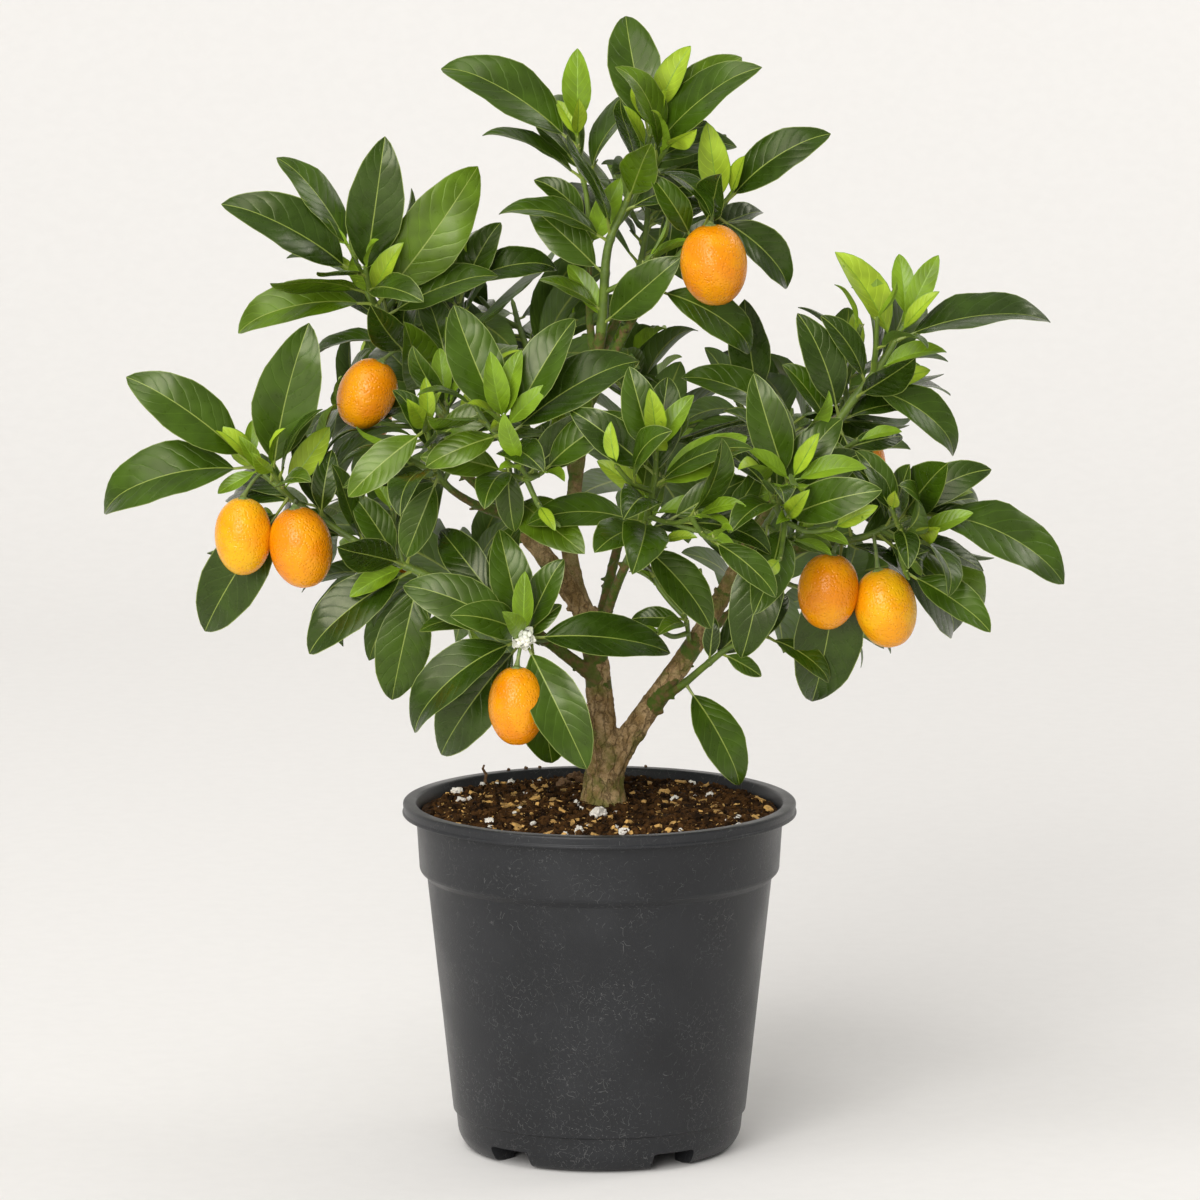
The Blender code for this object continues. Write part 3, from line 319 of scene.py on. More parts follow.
    "back_right": {
        "wood": ((63, -12, 287), (80, 32, 315), (98, 68, 337)),
        "green": ((112, 96, 358), (121, 112, 382)),
        "thick": (5.6, 4, 2.4),
        "leaves": 8, "twigs": 2, "seeds": (171, 332, 20),
    },
    "back_centre": {
        "wood": ((-2, 0, 260), (8, 46, 296), (17, 88, 324)),
        "green": ((23, 122, 348), (27, 146, 374)),
        "thick": (5.8, 4.2, 2.4),
        "leaves": 8, "twigs": 2, "seeds": (181, 265, 12),
    },
    "low_back_left": {
        "wood": ((0, 2, 238), (-34, 40, 260), (-64, 74, 275)),
        "green": ((-88, 100, 286), (-106, 120, 300)),
        "thick": (5, 3.8, 2.4),
        "leaves": 7, "twigs": 1, "seeds": (191, 457, 10),
    },
    "low_back_right": {
        "wood": ((28, 0, 229), (52, 40, 252), (73, 72, 269)),
        "green": ((90, 100, 282), (104, 120, 298)),
        "thick": (5, 3.8, 2.4),
        "leaves": 7, "twigs": 1, "seeds": (201, 369, 1),
    },
}

# Fruit: the branch, the share of its green stem where the stalk starts, the fruit's centre in
# millimetres, its length and width, and how far its foot is swung from plumb, in degrees towards +X.
FRUITS = (
    ("lower_left", 0.93, (-178, -42, 320), 39, 28.5, 0),
    ("lower_left", 0.72, (-149, -46, 315), 41, 31.5, 9),
    ("left_bough", 0.36, (-117, -6, 387), 36.5, 29, -25),
    ("front_low", 1.0, (-41, -82, 241), 39.5, 28.5, 0),
    ("upper_right", 0.8, (57, -30, 455), 41, 33.5, 5),
    ("lower_right", 0.1, (114, -54, 294), 38, 30.5, -6),
    ("lower_right", 0.4, (143, -50, 285), 40, 31, 12),
    ("back_left", 0.75, (-122, 140, 359), 38, 29, 0),
    ("back_centre", 0.8, (44, 150, 336), 40, 30, 0),
    ("back_right", 0.5, (134, 112, 333), 38, 29, 0),
    ("low_back_left", 0.9, (-114, 132, 271), 37, 28, 0),
)


def mm(point):
    """A point given in millimetres, in metres."""
    return Vector(point) * MM


def curve_through(points, steps):
    """Points on a smooth line through the given ones."""
    ends = [points[0] * 2 - points[1], *points, points[-1] * 2 - points[-2]]
    line = []
    for a, b, c, d in zip(ends, ends[1:], ends[2:], ends[3:]):
        for i in range(steps):
            t = i / steps
            line.append(0.5 * (2 * b + (c - a) * t + (2 * a - 5 * b + 4 * c - d) * t**2
                               + (3 * b - a - 3 * c + d) * t**3))
    return [*line, points[-1]]


class Line:
    """A smooth centreline. It gives the point, the direction and the radius at a share of its length."""

    def __init__(self, points, diameters, neck=1.0, steps=6):
        self.points = curve_through(points, steps)
        self.diameters, self.neck = diameters, neck
        self.lengths = [0.0]
        for a, b in zip(self.points, self.points[1:]):
            self.lengths.append(self.lengths[-1] + (b - a).length)
        self.length = self.lengths[-1]

    def at(self, share):
        wanted = min(max(share, 0), 1) * self.length
        i = max(i for i, l in enumerate(self.lengths[:-1]) if l <= wanted + 1e-12)
        run = self.lengths[i + 1] - self.lengths[i]
        return self.points[i].lerp(self.points[i + 1], (wanted - self.lengths[i]) / run)

    def along(self, share):
        step = 0.02
        return (self.at(share + step) - self.at(share - step)).normalized()

    def radius(self, share):
        """Half the diameter there. The first diameters belong to the wood and the last to the tip."""
        *wood, tip = self.diameters
        if share > self.neck:
            return (wood[-1] + (tip - wood[-1]) * (share - self.neck) / (1 - self.neck)) / 2
        stops = wood if self.neck < 1 else self.diameters
        place = share / self.neck * (len(stops) - 1)
        i = min(int(place), len(stops) - 2)
        return (stops[i] + (stops[i + 1] - stops[i]) * (place - i)) / 2

    def stretch(self, first, last, count, swell=0.0):
        """Points and radii from one share to another. Its last bits are straight, so its ends are square."""
        shares = [first + (last - first) * i / (count - 1) for i in range(count)]
        points = [self.at(share) for share in shares]
        start, end = self.along(first), self.along(last)
        straight = 0.6 * MM
        points = [points[0] - start * swell, points[0] + start * straight, *points[1:-1],
                  points[-1] - end * straight, points[-1] + end * swell]
        radii = [self.radius(share) + swell for share in [first, *shares, last]]
        return points, radii


class Leaf:
    """Where one leaf sits and how it hangs. Its spine is an arc that bends away from its upper face."""

    def __init__(self, branch, root, out, face, length, bend, kind, width=LEAF_WIDTH_SHARE):
        self.branch, self.root, self.length, self.bend, self.kind = branch, root, length, bend, kind
        self.width_share = width
        self.width = width * length / (1 - LEAF_STALK_SHARE)
        self.out = out.normalized()
        self.face = (face - face.dot(self.out) * self.out).normalized()
        self.side = self.out.cross(self.face)
        turn = Matrix.Rotation(bend / 2, 3, self.side)
        self.start, self.up = turn @ self.out, turn @ self.face

    def spine(self, share):
        """The point at a share of the leaf's length, and the way that its face looks there."""
        angle = self.bend * share
        reach = self.length / self.bend
        point = self.root + reach * (math.sin(angle) * self.start - (1 - math.cos(angle)) * self.up)
        return point, math.cos(angle) * self.up + math.sin(angle) * self.start

    def solid(self, first=0.0, swell=0.0):
        """Points and faces of its three-sided blade, pointed at both ends and sunk into its twig. For a
        test it can start part of the way along, and be swollen."""
        outline = LEAF_OUTLINE if self.kind == "mature" else YOUNG_OUTLINE
        rows = [(share, wide * self.width / 2) for share, wide in outline]
        if first:
            rows.insert(0, (first, rows[0][1] * first / rows[0][0]))
        points = []
        for share, half in rows:
            middle, up = self.spine(share)
            edge = self.side * (half + swell)
            lift = up * (LEAF_FOLD * half + swell)
            keel = up * (LEAF_THICKNESS_SHARE * self.length / 2 + swell)
            points += [middle - edge + lift, middle + edge + lift, middle - keel]
        tip, _ = self.spine(1 + swell / self.length)
        points.append(tip)
        last = 3 * len(rows) - 3
        faces = []
        for row in range(0, last, 3):
            for i in range(3):
                j = (i + 1) % 3
                faces.append((row + i, row + j, row + 3 + j, row + 3 + i))
        faces += [(last + i, last + (i + 1) % 3, last + 3) for i in range(3)]
        if first:
            return points, [(2, 1, 0), *faces]
        root = len(points)
        points.append(self.root - self.start * ROOT_SINK)
        return points, [*faces, *((i, root, (i + 1) % 3) for i in range(3))]


class Grown:
    """What has grown so far. It tells whether a new piece would touch any of it."""

    def __init__(self):
        self.pieces = []

    def add(self, kind, branch, points, faces):
        low, high = self.box(points)
        self.pieces.append((kind, branch, low, high, BVHTree.FromPolygons(points, faces)))

    @staticmethod
    def box(points):
        return (Vector(min(p[i] for p in points) for i in range(3)),
                Vector(max(p[i] for p in points) for i in range(3)))

    def touched(self, points, faces):
        """(kind, branch) of each grown piece that the new one would touch."""
        low, high = self.box(points)
        tree = BVHTree.FromPolygons(points, faces)
        for kind, branch, other_low, other_high, other in self.pieces:
            apart = any(low[i] > other_high[i] or high[i] < other_low[i] for i in range(3))
            if not apart and tree.overlap(other):
                yield kind, branch


def taken_from(body):
    """The points and faces of a body under construction, which is then let go."""
    body.verts.index_update()
    points = [v.co.copy() for v in body.verts]
    faces = [tuple(v.index for v in f.verts) for f in body.faces]
    body.free()
    return points, faces


def tube(points, radii, resolution):
    """Points and faces of a closed tapering tube: a bevelled curve, made a mesh with its caps welded."""
    curve = bpy.data.curves.new("tube", "CURVE")
    curve.dimensions = "3D"
    curve.bevel_depth = 1.0
    curve.bevel_resolution = resolution
    curve.use_fill_caps = True
    spline = curve.splines.new("POLY")
    spline.points.add(len(points) - 1)
    for slot, point, radius in zip(spline.points, points, radii):
        slot.co = (*point, 1)
        slot.radius = radius
    guide = bpy.data.objects.new("tube", curve)
    mesh = bpy.data.meshes.new_from_object(guide)
    body = bmesh.new()
    body.from_mesh(mesh)
    bmesh.ops.remove_doubles(body, verts=body.verts, dist=1e-6)
    bmesh.ops.recalc_face_normals(body, faces=body.faces)
    bpy.data.objects.remove(guide)
    bpy.data.curves.remove(curve)
    bpy.data.meshes.remove(mesh)
    return taken_from(body)


def limbs():
    """The line of the trunk and of each branch, from its root to its tip."""
    found = {"trunk": Line([mm(p) for p in TRUNK["wood"]], [d * MM for d in TRUNK["thick"]])}
    for name, branch in BRANCHES.items():
        wood = [mm(p) for p in branch["wood"]]
        line = Line(wood + [mm(p) for p in branch["green"]], [d * MM for d in branch["thick"]])
        line.neck = line.lengths[(len(wood) - 1) * 6] / line.length
        found[name] = line
    return found


def limb_shape(line, swell=0.0):
    """A limb's tube from its root to its neck."""
    thick = line.radius(0) > 5 * MM
    points, radii = line.stretch(0.0, line.neck, 9 if thick else 5, swell)
    return tube(points, radii, 3 if thick else 1)


def stem_shape(line):
    """The tube of a branch's green stem, from just past its neck to its tip."""
    return tube(*line.stretch(line.neck + GAP / line.length, 1.0, 4), 0)


def twig_shape(twig, first=0.0, swell=0.0):
    """The tube of a side twig."""
    return tube(*twig.stretch(first, 1.0, 3, swell), 0)


def place_fruit(lines, entry):
    """A fruit's stalk root and body from its entry in the table."""
    name, at, centre, length, width, swing = entry
    swing = math.radians(swing)
    return {"branch": name, "root": lines[name].at(green_share(lines[name], at)), "centre": mm(centre),
            "length": length * MM, "width": width * MM,
            "down": Vector((math.sin(swing), 0, -math.cos(swing)))}


def fruit_shape(fruit):
    """Points and faces of an oval fruit, a sphere drawn out along its axis."""
    body = bmesh.new()
    bmesh.ops.create_uvsphere(body, u_segments=8, v_segments=6, radius=0.5)
    turn = (-fruit["down"]).to_track_quat("Z", "Y").to_matrix().to_4x4()
    size = Matrix.Diagonal((fruit["width"], fruit["width"], fruit["length"], 1))
    bmesh.ops.transform(body, matrix=Matrix.Translation(fruit["centre"]) @ turn @ size, verts=body.verts)
    return taken_from(body)


def green_share(line, at):
    """The share of the whole line that lies at a share of its green stem."""
    return line.neck + (1 - line.neck) * at


def outline_leaf(name, line, kind, entry, dice):
    """A leaf of the outline, whose chord lies near the X-Z plane."""
    at, heading, length, *hang = entry
    drawn = [dice.uniform(20, 58), dice.uniform(24, 44) if kind == "fan" else dice.uniform(10, 22),
             dice.uniform(-6, 12)]
    turned_up, bend, lean = (math.radians(angle) for angle in [*hang, *drawn[len(hang):]])
    heading = math.radians(heading)
    out = Vector((math.cos(heading), -math.sin(lean), math.sin(heading)))
    face = Vector((0, -math.cos(turned_up), math.sin(turned_up)))
    width = LEAF_WIDTH_SHARE * dice.uniform(0.94, 1.1)
    return Leaf(name, line.at(green_share(line, at)), out, face, length * MM, bend,
                "mature" if kind == "fan" else "young", width)


def rule_leaf(name, line, share, turn, spread, length, kind, dice):
    """A leaf set by the rule: it stands off its twig, and looks up and away from the trunk."""
    along = line.along(share)
    side = along.cross(Vector((0.2, 0.3, 0.93))).normalized()
    out = math.cos(spread) * along + math.sin(spread) * (math.cos(turn) * side
                                                         + math.sin(turn) * along.cross(side))
    out.z -= 0.12
    root = line.at(share)
    away = Vector((root.x, root.y, 0)).normalized()
    face = 0.7 * along + 0.45 * away + Vector((0, 0, 0.5))
    bend = math.radians(dice.uniform(18, 44) if kind == "mature" else dice.uniform(10, 24))
    return Leaf(name, root, out, face, length, bend, kind)


def is_clear(grown, leaf):
    """Whether a leaf touches nothing. Only its blade counts among the pieces of its own mass."""
    whole = {owner for _, owner in grown.touched(*leaf.solid(0.04, CLEARANCE))}
    if whole - {leaf.branch}:
        return False
    return not any(grown.touched(*leaf.solid(0.2, CLEARANCE))) if whole else True


def keep(grown, leaves, leaf):
    """Takes a leaf into the crown."""
    leaves.append(leaf)
    grown.add("leaf", leaf.branch, *leaf.solid())


def outline_leaves(name, lines, grown, seed):
    """The leaves from a branch's table. One that would touch its own mass swings towards the viewer or
    away, and one that no swing clears is still kept unless it touches another mass or a limb."""
    dice = random.Random(seed)
    leaves = []
    for kind in ("fan", "young"):
        for entry in BRANCHES[name].get(kind, ()):
            leaf = outline_leaf(name, lines[name], kind, entry, dice)
            trials = []
            for swing in (0, -8, 8, -16, 16, -26, 26):
                lean = Vector((0, math.sin(math.radians(swing)), 0))
                trials.append(Leaf(name, leaf.root, leaf.out + lean, leaf.face, leaf.length, leaf.bend,
                                   leaf.kind, leaf.width_share))
            for trial in trials:
                if is_clear(grown, trial):
                    keep(grown, leaves, trial)
                    break
            else:
                for trial in trials:
                    owners = {owner for _, owner in grown.touched(*trial.solid(0.04, CLEARANCE))}
                    if not owners - {name}:
                        keep(grown, leaves, trial)
                        break
    return leaves


def grow_twig(line, share, turn, dice):
    """A short twig that leaves its stem at a slant and rises towards its tip."""
    along = line.along(share)
    side = along.cross(Vector((0.2, 0.3, 0.93))).normalized()
    spread = math.radians(dice.uniform(46, 62))
    out = math.cos(spread) * along + math.sin(spread) * (math.cos(turn) * side
                                                         + math.sin(turn) * along.cross(side))
    length = dice.uniform(24, 36) * MM
    root = line.at(share)
    middle = root + out * length * 0.5
    tip = middle + (out + Vector((0, 0, 0.45))).normalized() * length * 0.5
    return Line([root, middle, tip], (3 * MM, 2.2 * MM))


def rule_leaves(name, lines, grown, seed):
    """The side twigs and the other leaves of a mass, one golden angle on from each other."""
    branch, line = BRANCHES[name], lines[name]
    dice = random.Random(seed)
    turn = dice.uniform(0, 2 * math.pi)
    stems = [(line, line.neck, branch["leaves"], 1.0)]
    twigs, leaves = [], []
    for i in range(branch["twigs"]):
        turn += GOLDEN_ANGLE
        twig = grow_twig(line, green_share(line, 0.12 + 0.7 * (i + 0.5) / branch["twigs"]), turn, dice)
        if not any(grown.touched(*twig_shape(twig, 0.25, CLEARANCE))):
            twigs.append((name, twig))
            grown.add("twig", name, *twig_shape(twig))
            stems.append((twig, 0.3, 4, 0.86))

    def try_turns(stem, share, spread, length, kind):
        for shorter in TRIAL_LENGTHS:
            for more in TRIAL_TURNS:
                leaf = rule_leaf(name, stem, share, turn + math.radians(more), spread, length * shorter,
                                 kind, dice)
                if is_clear(grown, leaf):
                    keep(grown, leaves, leaf)
                    return

    for stem, start, count, size in stems:
        for i in range(count):
            share = start + (0.94 - start) * (i + 0.4) / count
            turn += GOLDEN_ANGLE
            spread = math.radians(74 - 34 * share + dice.uniform(-8, 8))
            try_turns(stem, share, spread, dice.uniform(52, 72) * MM * size, "mature")
        for i in range(2):
            turn += GOLDEN_ANGLE
            try_turns(stem, 0.97, math.radians(dice.uniform(14, 34)), dice.uniform(20, 34) * MM, "young")
    return twigs, leaves


def grow_limbs():
    """The lines and the fruit, and what they and the pot already fill."""
    lines = limbs()
    grown = Grown()
    rim = tube([mm((0, 0, 120)), mm((0, 0, 178.5))], [RIM_RADIUS, RIM_RADIUS], 6)
    grown.add("pot", "pot", *rim)
    for name, line in lines.items():
        grown.add("limb", "wood of " + name, *limb_shape(line))
        if name != "trunk":
            grown.add("stem", name, *stem_shape(line))
    fruits = [place_fruit(lines, entry) for entry in FRUITS]
    for fruit in fruits:
        grown.add("fruit", fruit["branch"], *fruit_shape(fruit))
    return lines, fruits, grown
def in_reach(name, points):
    """Whether points lie in the box of a mass's solid."""
    low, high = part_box("leaves_" + name)
    spare = 1 * MM
    return all(low[i] - spare < (p + AXIS)[i] < high[i] + spare for p in points for i in range(3))


def finer_growth(name, lines, grown, stems, seed):
    """Short side twigs with smaller leaves, and buds of leaf, that fill a mass out to its own reach.
    Seed 0 grows none."""
    dice = random.Random(seed)
    twigs, leaves = [], []
    if not seed:
        return twigs, leaves
    turn = dice.uniform(0, 2 * math.pi)
    line = lines[name]
    fine = [(line, line.neck, 5, 1.0)]
    for stem, start in stems:
        for i in range(3):
            turn += GOLDEN_ANGLE
            share = start + (0.92 - start) * (i + dice.uniform(0.2, 0.8)) / 3
            twig = grow_twig(stem, share, turn, dice)
            if any(grown.touched(*twig_shape(twig, 0.25, CLEARANCE))) or not in_reach(name, twig.points):
                continue
            twigs.append((name, twig))
            grown.add("twig", name, *twig_shape(twig))
            fine.append((twig, 0.35, 4, 0.84))
    for stem, start, count, size in fine:
        for i in range(count):
            share = start + (1.0 - start) * (i + 0.6) / count
            turn += GOLDEN_ANGLE
            young = share > 0.9 or dice.random() < 0.12
            if young and name == BLOSSOM_BRANCH:
                continue
            spread = math.radians(dice.uniform(16, 36) if young else 70 - 30 * share)
            length = (dice.uniform(20, 34) if young else dice.uniform(42, 70) * size) * MM
            for shorter in (1.0, 0.82, 0.68):
                for more in TRIAL_TURNS:
                    leaf = rule_leaf(name, stem, share, turn + math.radians(more), spread,
                                     length * shorter, "young" if young else "mature", dice)
                    if in_reach(name, [leaf.spine(0.5)[0], leaf.spine(1)[0]]) and is_clear(grown, leaf):
                        keep(grown, leaves, leaf)
                        break
                else:
                    continue
                break
    return twigs, leaves


def seen(point):
    """Where a point shows on the upright plane through the trunk, as the camera sees it."""
    nearer = CAMERA_AWAY / (CAMERA_AWAY + point.y)
    return point.x * nearer, CAMERA_HEIGHT + (point.z - CAMERA_HEIGHT) * nearer


def blade_spots(leaf):
    """Points spread over a leaf's blade."""
    return [leaf.spine(0.15 + 0.11 * i)[0] + leaf.side * leaf.width * 0.18 * k
            for i in range(8) for k in range(-2, 3)]


def covered(leaf, places):
    """How many spots of a leaf lie on the given places, as the camera sees them."""
    spots = [seen(point) for point in blade_spots(leaf)]
    return sum(any(math.hypot(x / MM - at, z / MM - high) < reach for at, high, reach in places)
               for x, z in spots)


def fills_opening(leaf):
    """Whether a leaf would cover one of the crown's openings, or hang before wood that shows."""
    in_front = leaf.root.y < 10 * MM
    return (covered(leaf, OPENINGS) > SPOTS_OVER_SKY
            or (in_front and covered(leaf, SHOWN_WOOD) > SPOTS_OVER_WOOD))


def hides_fruit(leaf, fruits, allowed):
    """Whether more spots of a leaf than allowed would hang before a fruit at the front of the crown."""
    for fruit in fruits:
        middle = fruit["centre"]
        if middle.y > 30 * MM:
            continue
        x, z = seen(middle)
        spots = [seen(point) for point in blade_spots(leaf) if point.y < middle.y]
        if sum(math.hypot((a - x) / fruit["width"], (b - z) / fruit["length"]) < 0.5
               for a, b in spots) > allowed:
            return True
    return False


PLANT = {}


def plant():
    """Everything that grows, grown once: the lines, twigs, leaves and fruit."""
    if PLANT:
        return PLANT
    lines, fruits, grown = grow_limbs()
    twigs, leaves = [], []
    for name, branch in BRANCHES.items():
        leaves += outline_leaves(name, lines, grown, branch["seeds"][0])
    outline = len(leaves)
    for name, branch in BRANCHES.items():
        more_twigs, more_leaves = rule_leaves(name, lines, grown, branch["seeds"][1])
        twigs += more_twigs
        leaves += more_leaves
    for name, branch in BRANCHES.items():
        stems = [(lines[name], lines[name].neck)]
        stems += [(twig, 0.4) for owner, twig in twigs if owner == name]
        more_twigs, more_leaves = finer_growth(name, lines, grown, stems, branch["seeds"][2])
        twigs += more_twigs
        leaves += more_leaves
    drawn = [leaf for leaf in leaves[:outline] if not hides_fruit(leaf, fruits, OUTLINE_OVER_FRUIT)]
    drawn += [leaf for leaf in leaves[outline:]
              if not (hides_fruit(leaf, fruits, SPOTS_OVER_FRUIT) or fills_opening(leaf))]
    PLANT.update(lines=lines, twigs=twigs, leaves=drawn, fruits=fruits)
    return PLANT


class Bundle:
    """Many small shapes gathered into one mesh, each face with its material slot and each corner with a
    place on its own shape."""

    def __init__(self):
        self.points, self.faces, self.slots, self.places, self.values = [], [], [], [], []
        self.count = 0

    def add(self, points, faces, slots, places=None, values=None):
        self.points.append(np.asarray(points, float))
        self.faces += [tuple(i + self.count for i in face) for face in faces]
        self.slots += [slots] * len(faces) if isinstance(slots, int) else list(slots)
        self.places.append(np.zeros((len(points), 2)) if places is None else places)
        self.values.append(np.zeros(len(points)) if values is None else np.asarray(values, float))
        self.count += len(points)

    def piece(self, name, finishes, replaced, slot, sharp=40, attribute=None):
        """The finished piece, moved to the solids' place."""
        mesh = bpy.data.meshes.new(name)
        points = np.concatenate(self.points) + np.array(AXIS)
        mesh.from_pydata(points.tolist(), [], self.faces)
        mesh.polygons.foreach_set("material_index", self.slots)
        corners = np.zeros(len(mesh.loops), np.int32)
        mesh.loops.foreach_get("vertex_index", corners)
        places = np.concatenate(self.places)[corners]
        mesh.uv_layers.new(name="place").data.foreach_set("uv", places.astype(np.float32).ravel())
        if attribute:
            values = np.concatenate(self.values).astype(np.float32)
            mesh.attributes.new(attribute, "FLOAT", "POINT").data.foreach_set("value", values)
        return finish_piece(name, mesh, finishes, replaced, sharp)


def finish_piece(name, mesh, finishes, replaced, sharp):
    """A mesh made a piece of the part: smooth but for its true edges, riding on the body."""
    for finish in finishes:
        mesh.materials.append(finish)
    mesh.shade_smooth()
    if sharp:
        mesh.set_sharp_from_angle(angle=math.radians(sharp))
    mesh.update()
    made = bpy.data.objects.new(name, mesh)
    bpy.context.scene.collection.objects.link(made)
    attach(made, "root")
    if replaced:
        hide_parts(*replaced)
    return made


def ring_wall(rings, around, first=0, outward=False):
    """The faces between rings of points, from the number of the first point on."""
    faces = []
    for i in range(rings - 1):
        a, b = first + i * around, first + (i + 1) * around
        for k in range(around):
            n = (k + 1) % around
            faces.append((a + k, b + k, b + n, a + n) if outward else (a + k, a + n, b + n, b + k))
    return faces


# Leaves

def leaf_grid(rows, columns):
    """The faces and slots of a leaf: strips across its upper side, two beneath, and a cap at each end.
    Each row has its upper points from edge to edge and then its keel. Slots: blade, rib, rim, back."""
    width = columns + 1
    kinds = [2, *[0] * ((columns - 4) // 2), 1]
    strips = kinds + kinds[-2::-1]
    faces, slots = [], []
    for row in range(rows - 1):
        a, b = row * width, (row + 1) * width
        for i, kind in enumerate(strips):
            faces.append((a + i, a + i + 1, b + i + 1, b + i))
            slots.append(kind)
        faces.append((a + columns, a, b, b + columns))
        faces.append((a + columns - 1, a + columns, b + columns, b + columns - 1))
        slots += [3, 3]
    last = (rows - 1) * width
    faces.append(tuple(range(columns, -1, -1)))
    faces.append(tuple(last + i for i in range(width)))
    return faces, slots + [1, 2]


LEAF_FORMS = {"mature": (17, (1, 0.55)), "young": (12, (1,))}


def half_width(t):
    """A blade's half width at a share of its length, as a share of its greatest half width."""
    swell = math.sin(math.pi * min(max(t, 0.0), 1.0) ** 0.9)
    return max(swell, 0.0) ** (0.86 if t < 0.46 else 0.66)


def shown_face(leaf):
    """1 for a leaf whose face looks up or out of the crown, -1 where it must be turned to do so."""
    face = leaf.spine(0.55)[1]
    out = Vector((leaf.root.x * 0.5, leaf.root.y - 30 * MM, 0)).normalized()
    turned_away = leaf.root.y < 40 * MM and face.y > 0.15
    return 1 if face.dot(out + Vector((0, 0, 0.7))) > -0.1 and not turned_away else -1


def blade_points(leaf, dice):
    """The points of a leaf's blade and each one's place on it: across from 0 to 1, and along."""
    rows, fractions = LEAF_FORMS[leaf.kind]
    young = leaf.kind == "young"
    fold = dice.uniform(0.45, 0.85) if young else dice.uniform(0.26, 0.6)
    dome = dice.uniform(0.10, 0.2) if young else dice.uniform(0.14, 0.3)
    wave, pace, phase = dice.uniform(0.02, 0.07), dice.uniform(1.6, 2.6), dice.uniform(0, 6.3)
    twist = math.radians(dice.uniform(-16, 16))
    scallop = dice.uniform(0, 6.3)
    bow = (dice.uniform(0.0, 0.06) if young else dice.uniform(0.0, 0.08)) * leaf.length
    hook = dice.uniform(0.1, 0.8) * leaf.length
    swing = dice.uniform(-0.1, 0.1) * leaf.length
    widest = leaf.width / 2 * (0.8 if young else 0.9)
    shown = shown_face(leaf)
    points, places = [], []
    for row in range(rows):
        t = row / (rows - 1)
        t -= 0.06 * math.sin(2 * math.pi * t)
        share = LEAF_STALK_SHARE + (1 - LEAF_STALK_SHARE) * t
        middle, up = leaf.spine(share)
        rise = shown * (bow * 4 * t * (1 - t) - hook * max(0.0, t - 0.72) ** 2)
        middle = middle + up * rise + leaf.side * swing * (t**2 - 0.35 * t)
        turn = twist * t
        side = shown * (math.cos(turn) * leaf.side + math.sin(turn) * up)
        lift = shown * (math.cos(turn) * up - math.sin(turn) * leaf.side)
        half = max(widest * half_width(t), 0.55 * MM if row == 0 else 0.25 * MM)
        half *= 1 + 0.016 * math.sin(26 * t + scallop)
        rib = min((0.38 - 0.22 * t) * MM, half * 0.4)
        rim = max(half - 0.38 * MM, rib * 1.3)
        inner = [rib + (rim - rib) * f for f in fractions]
        across = [-half, *[-x for x in inner], -rib, rib, *reversed(inner), half]
        for x in across:
            reach = abs(x) / half
            z = fold * abs(x) - dome * abs(x) * reach
            ripple = 2 * math.pi * pace * t + phase + (1.1 if x > 0 else 0)
            z += wave * half * reach**2 * math.sin(ripple)
            if abs(x) <= rib:
                z -= 0.12 * MM
            points.append(middle + side * x + lift * z)
            places.append((0.5 + 0.5 * x / half, t))
        keel = (0.35 + 0.75 * (1 - t)) * MM * (0.6 if young else 1.0)
        points.append(middle - lift * keel)
        places.append((0.5, t))
    return points, np.array(places)


def add_tube(bundle, points, radii, sides, slot, values=None):
    """A closed tube through points, with its own frame carried along it."""
    rings, places, shades = [], [], []
    way = (points[1] - points[0]).normalized()
    side = way.orthogonal().normalized()
    run = 0.0
    for i, (point, radius) in enumerate(zip(points, radii)):
        before, after = points[max(i - 1, 0)], points[min(i + 1, len(points) - 1)]
        way = (after - before).normalized()
        side = (side - side.dot(way) * way).normalized()
        other = way.cross(side)
        run += (point - before).length
        for k in range(sides):
            angle = 2 * math.pi * k / sides
            rings.append(point + radius * (math.cos(angle) * side + math.sin(angle) * other))
            places.append((k / sides, run / (10 * MM)))
            shades.append(0 if values is None else values[i])
    last = (len(points) - 1) * sides
    caps = [tuple(range(sides - 1, -1, -1)), tuple(last + k for k in range(sides))]
    bundle.add(rings, ring_wall(len(points), sides) + caps, slot, np.array(places), shades)


def add_leaf(bundle, leaf, blade_slot, dice):
    """One leaf: its blade, and the round stalk that runs on under it."""
    rows, fractions = LEAF_FORMS[leaf.kind]
    faces, slots = leaf_grid(rows, 4 + 2 * len(fractions))
    points, places = blade_points(leaf, dice)
    young = leaf.kind == "young"
    table = {0: blade_slot, 1: 7 if young else 4, 2: 7 if young else 5, 3: 8 if young else 6}
    bundle.add(points, faces, [table[s] for s in slots], places)
    thick = (0.62 if young else 0.95) * MM
    ends = [leaf.root - leaf.start * ROOT_SINK]
    for share, sink in ((0.02, 0.0), (0.07, 0.1), (0.13, 0.35), (0.19, 0.55)):
        middle, up = leaf.spine(share)
        ends.append(middle - up * sink * MM)
    add_tube(bundle, ends, [thick * 1.25, thick * 1.2, thick * 0.85, thick * 0.8, thick * 0.35], 5,
             7 if young else 4)


# Twigs and buds

def stem_path(line, first, last, leaves_at):
    """Points and radii along a stem, swollen a little where each leaf stands."""
    count = max(4, int((last - first) * line.length / (2.2 * MM)))
    points, radii = [], []
    for i in range(count + 1):
        share = first + (last - first) * i / count
        swell = sum(math.exp(-((share - at) * line.length / (1.3 * MM)) ** 2) for at in leaves_at)
        points.append(line.at(share))
        radii.append(line.radius(share) * (1 + 0.2 * min(swell, 1.2)))
    radii[-1] *= 0.55
    return points, radii


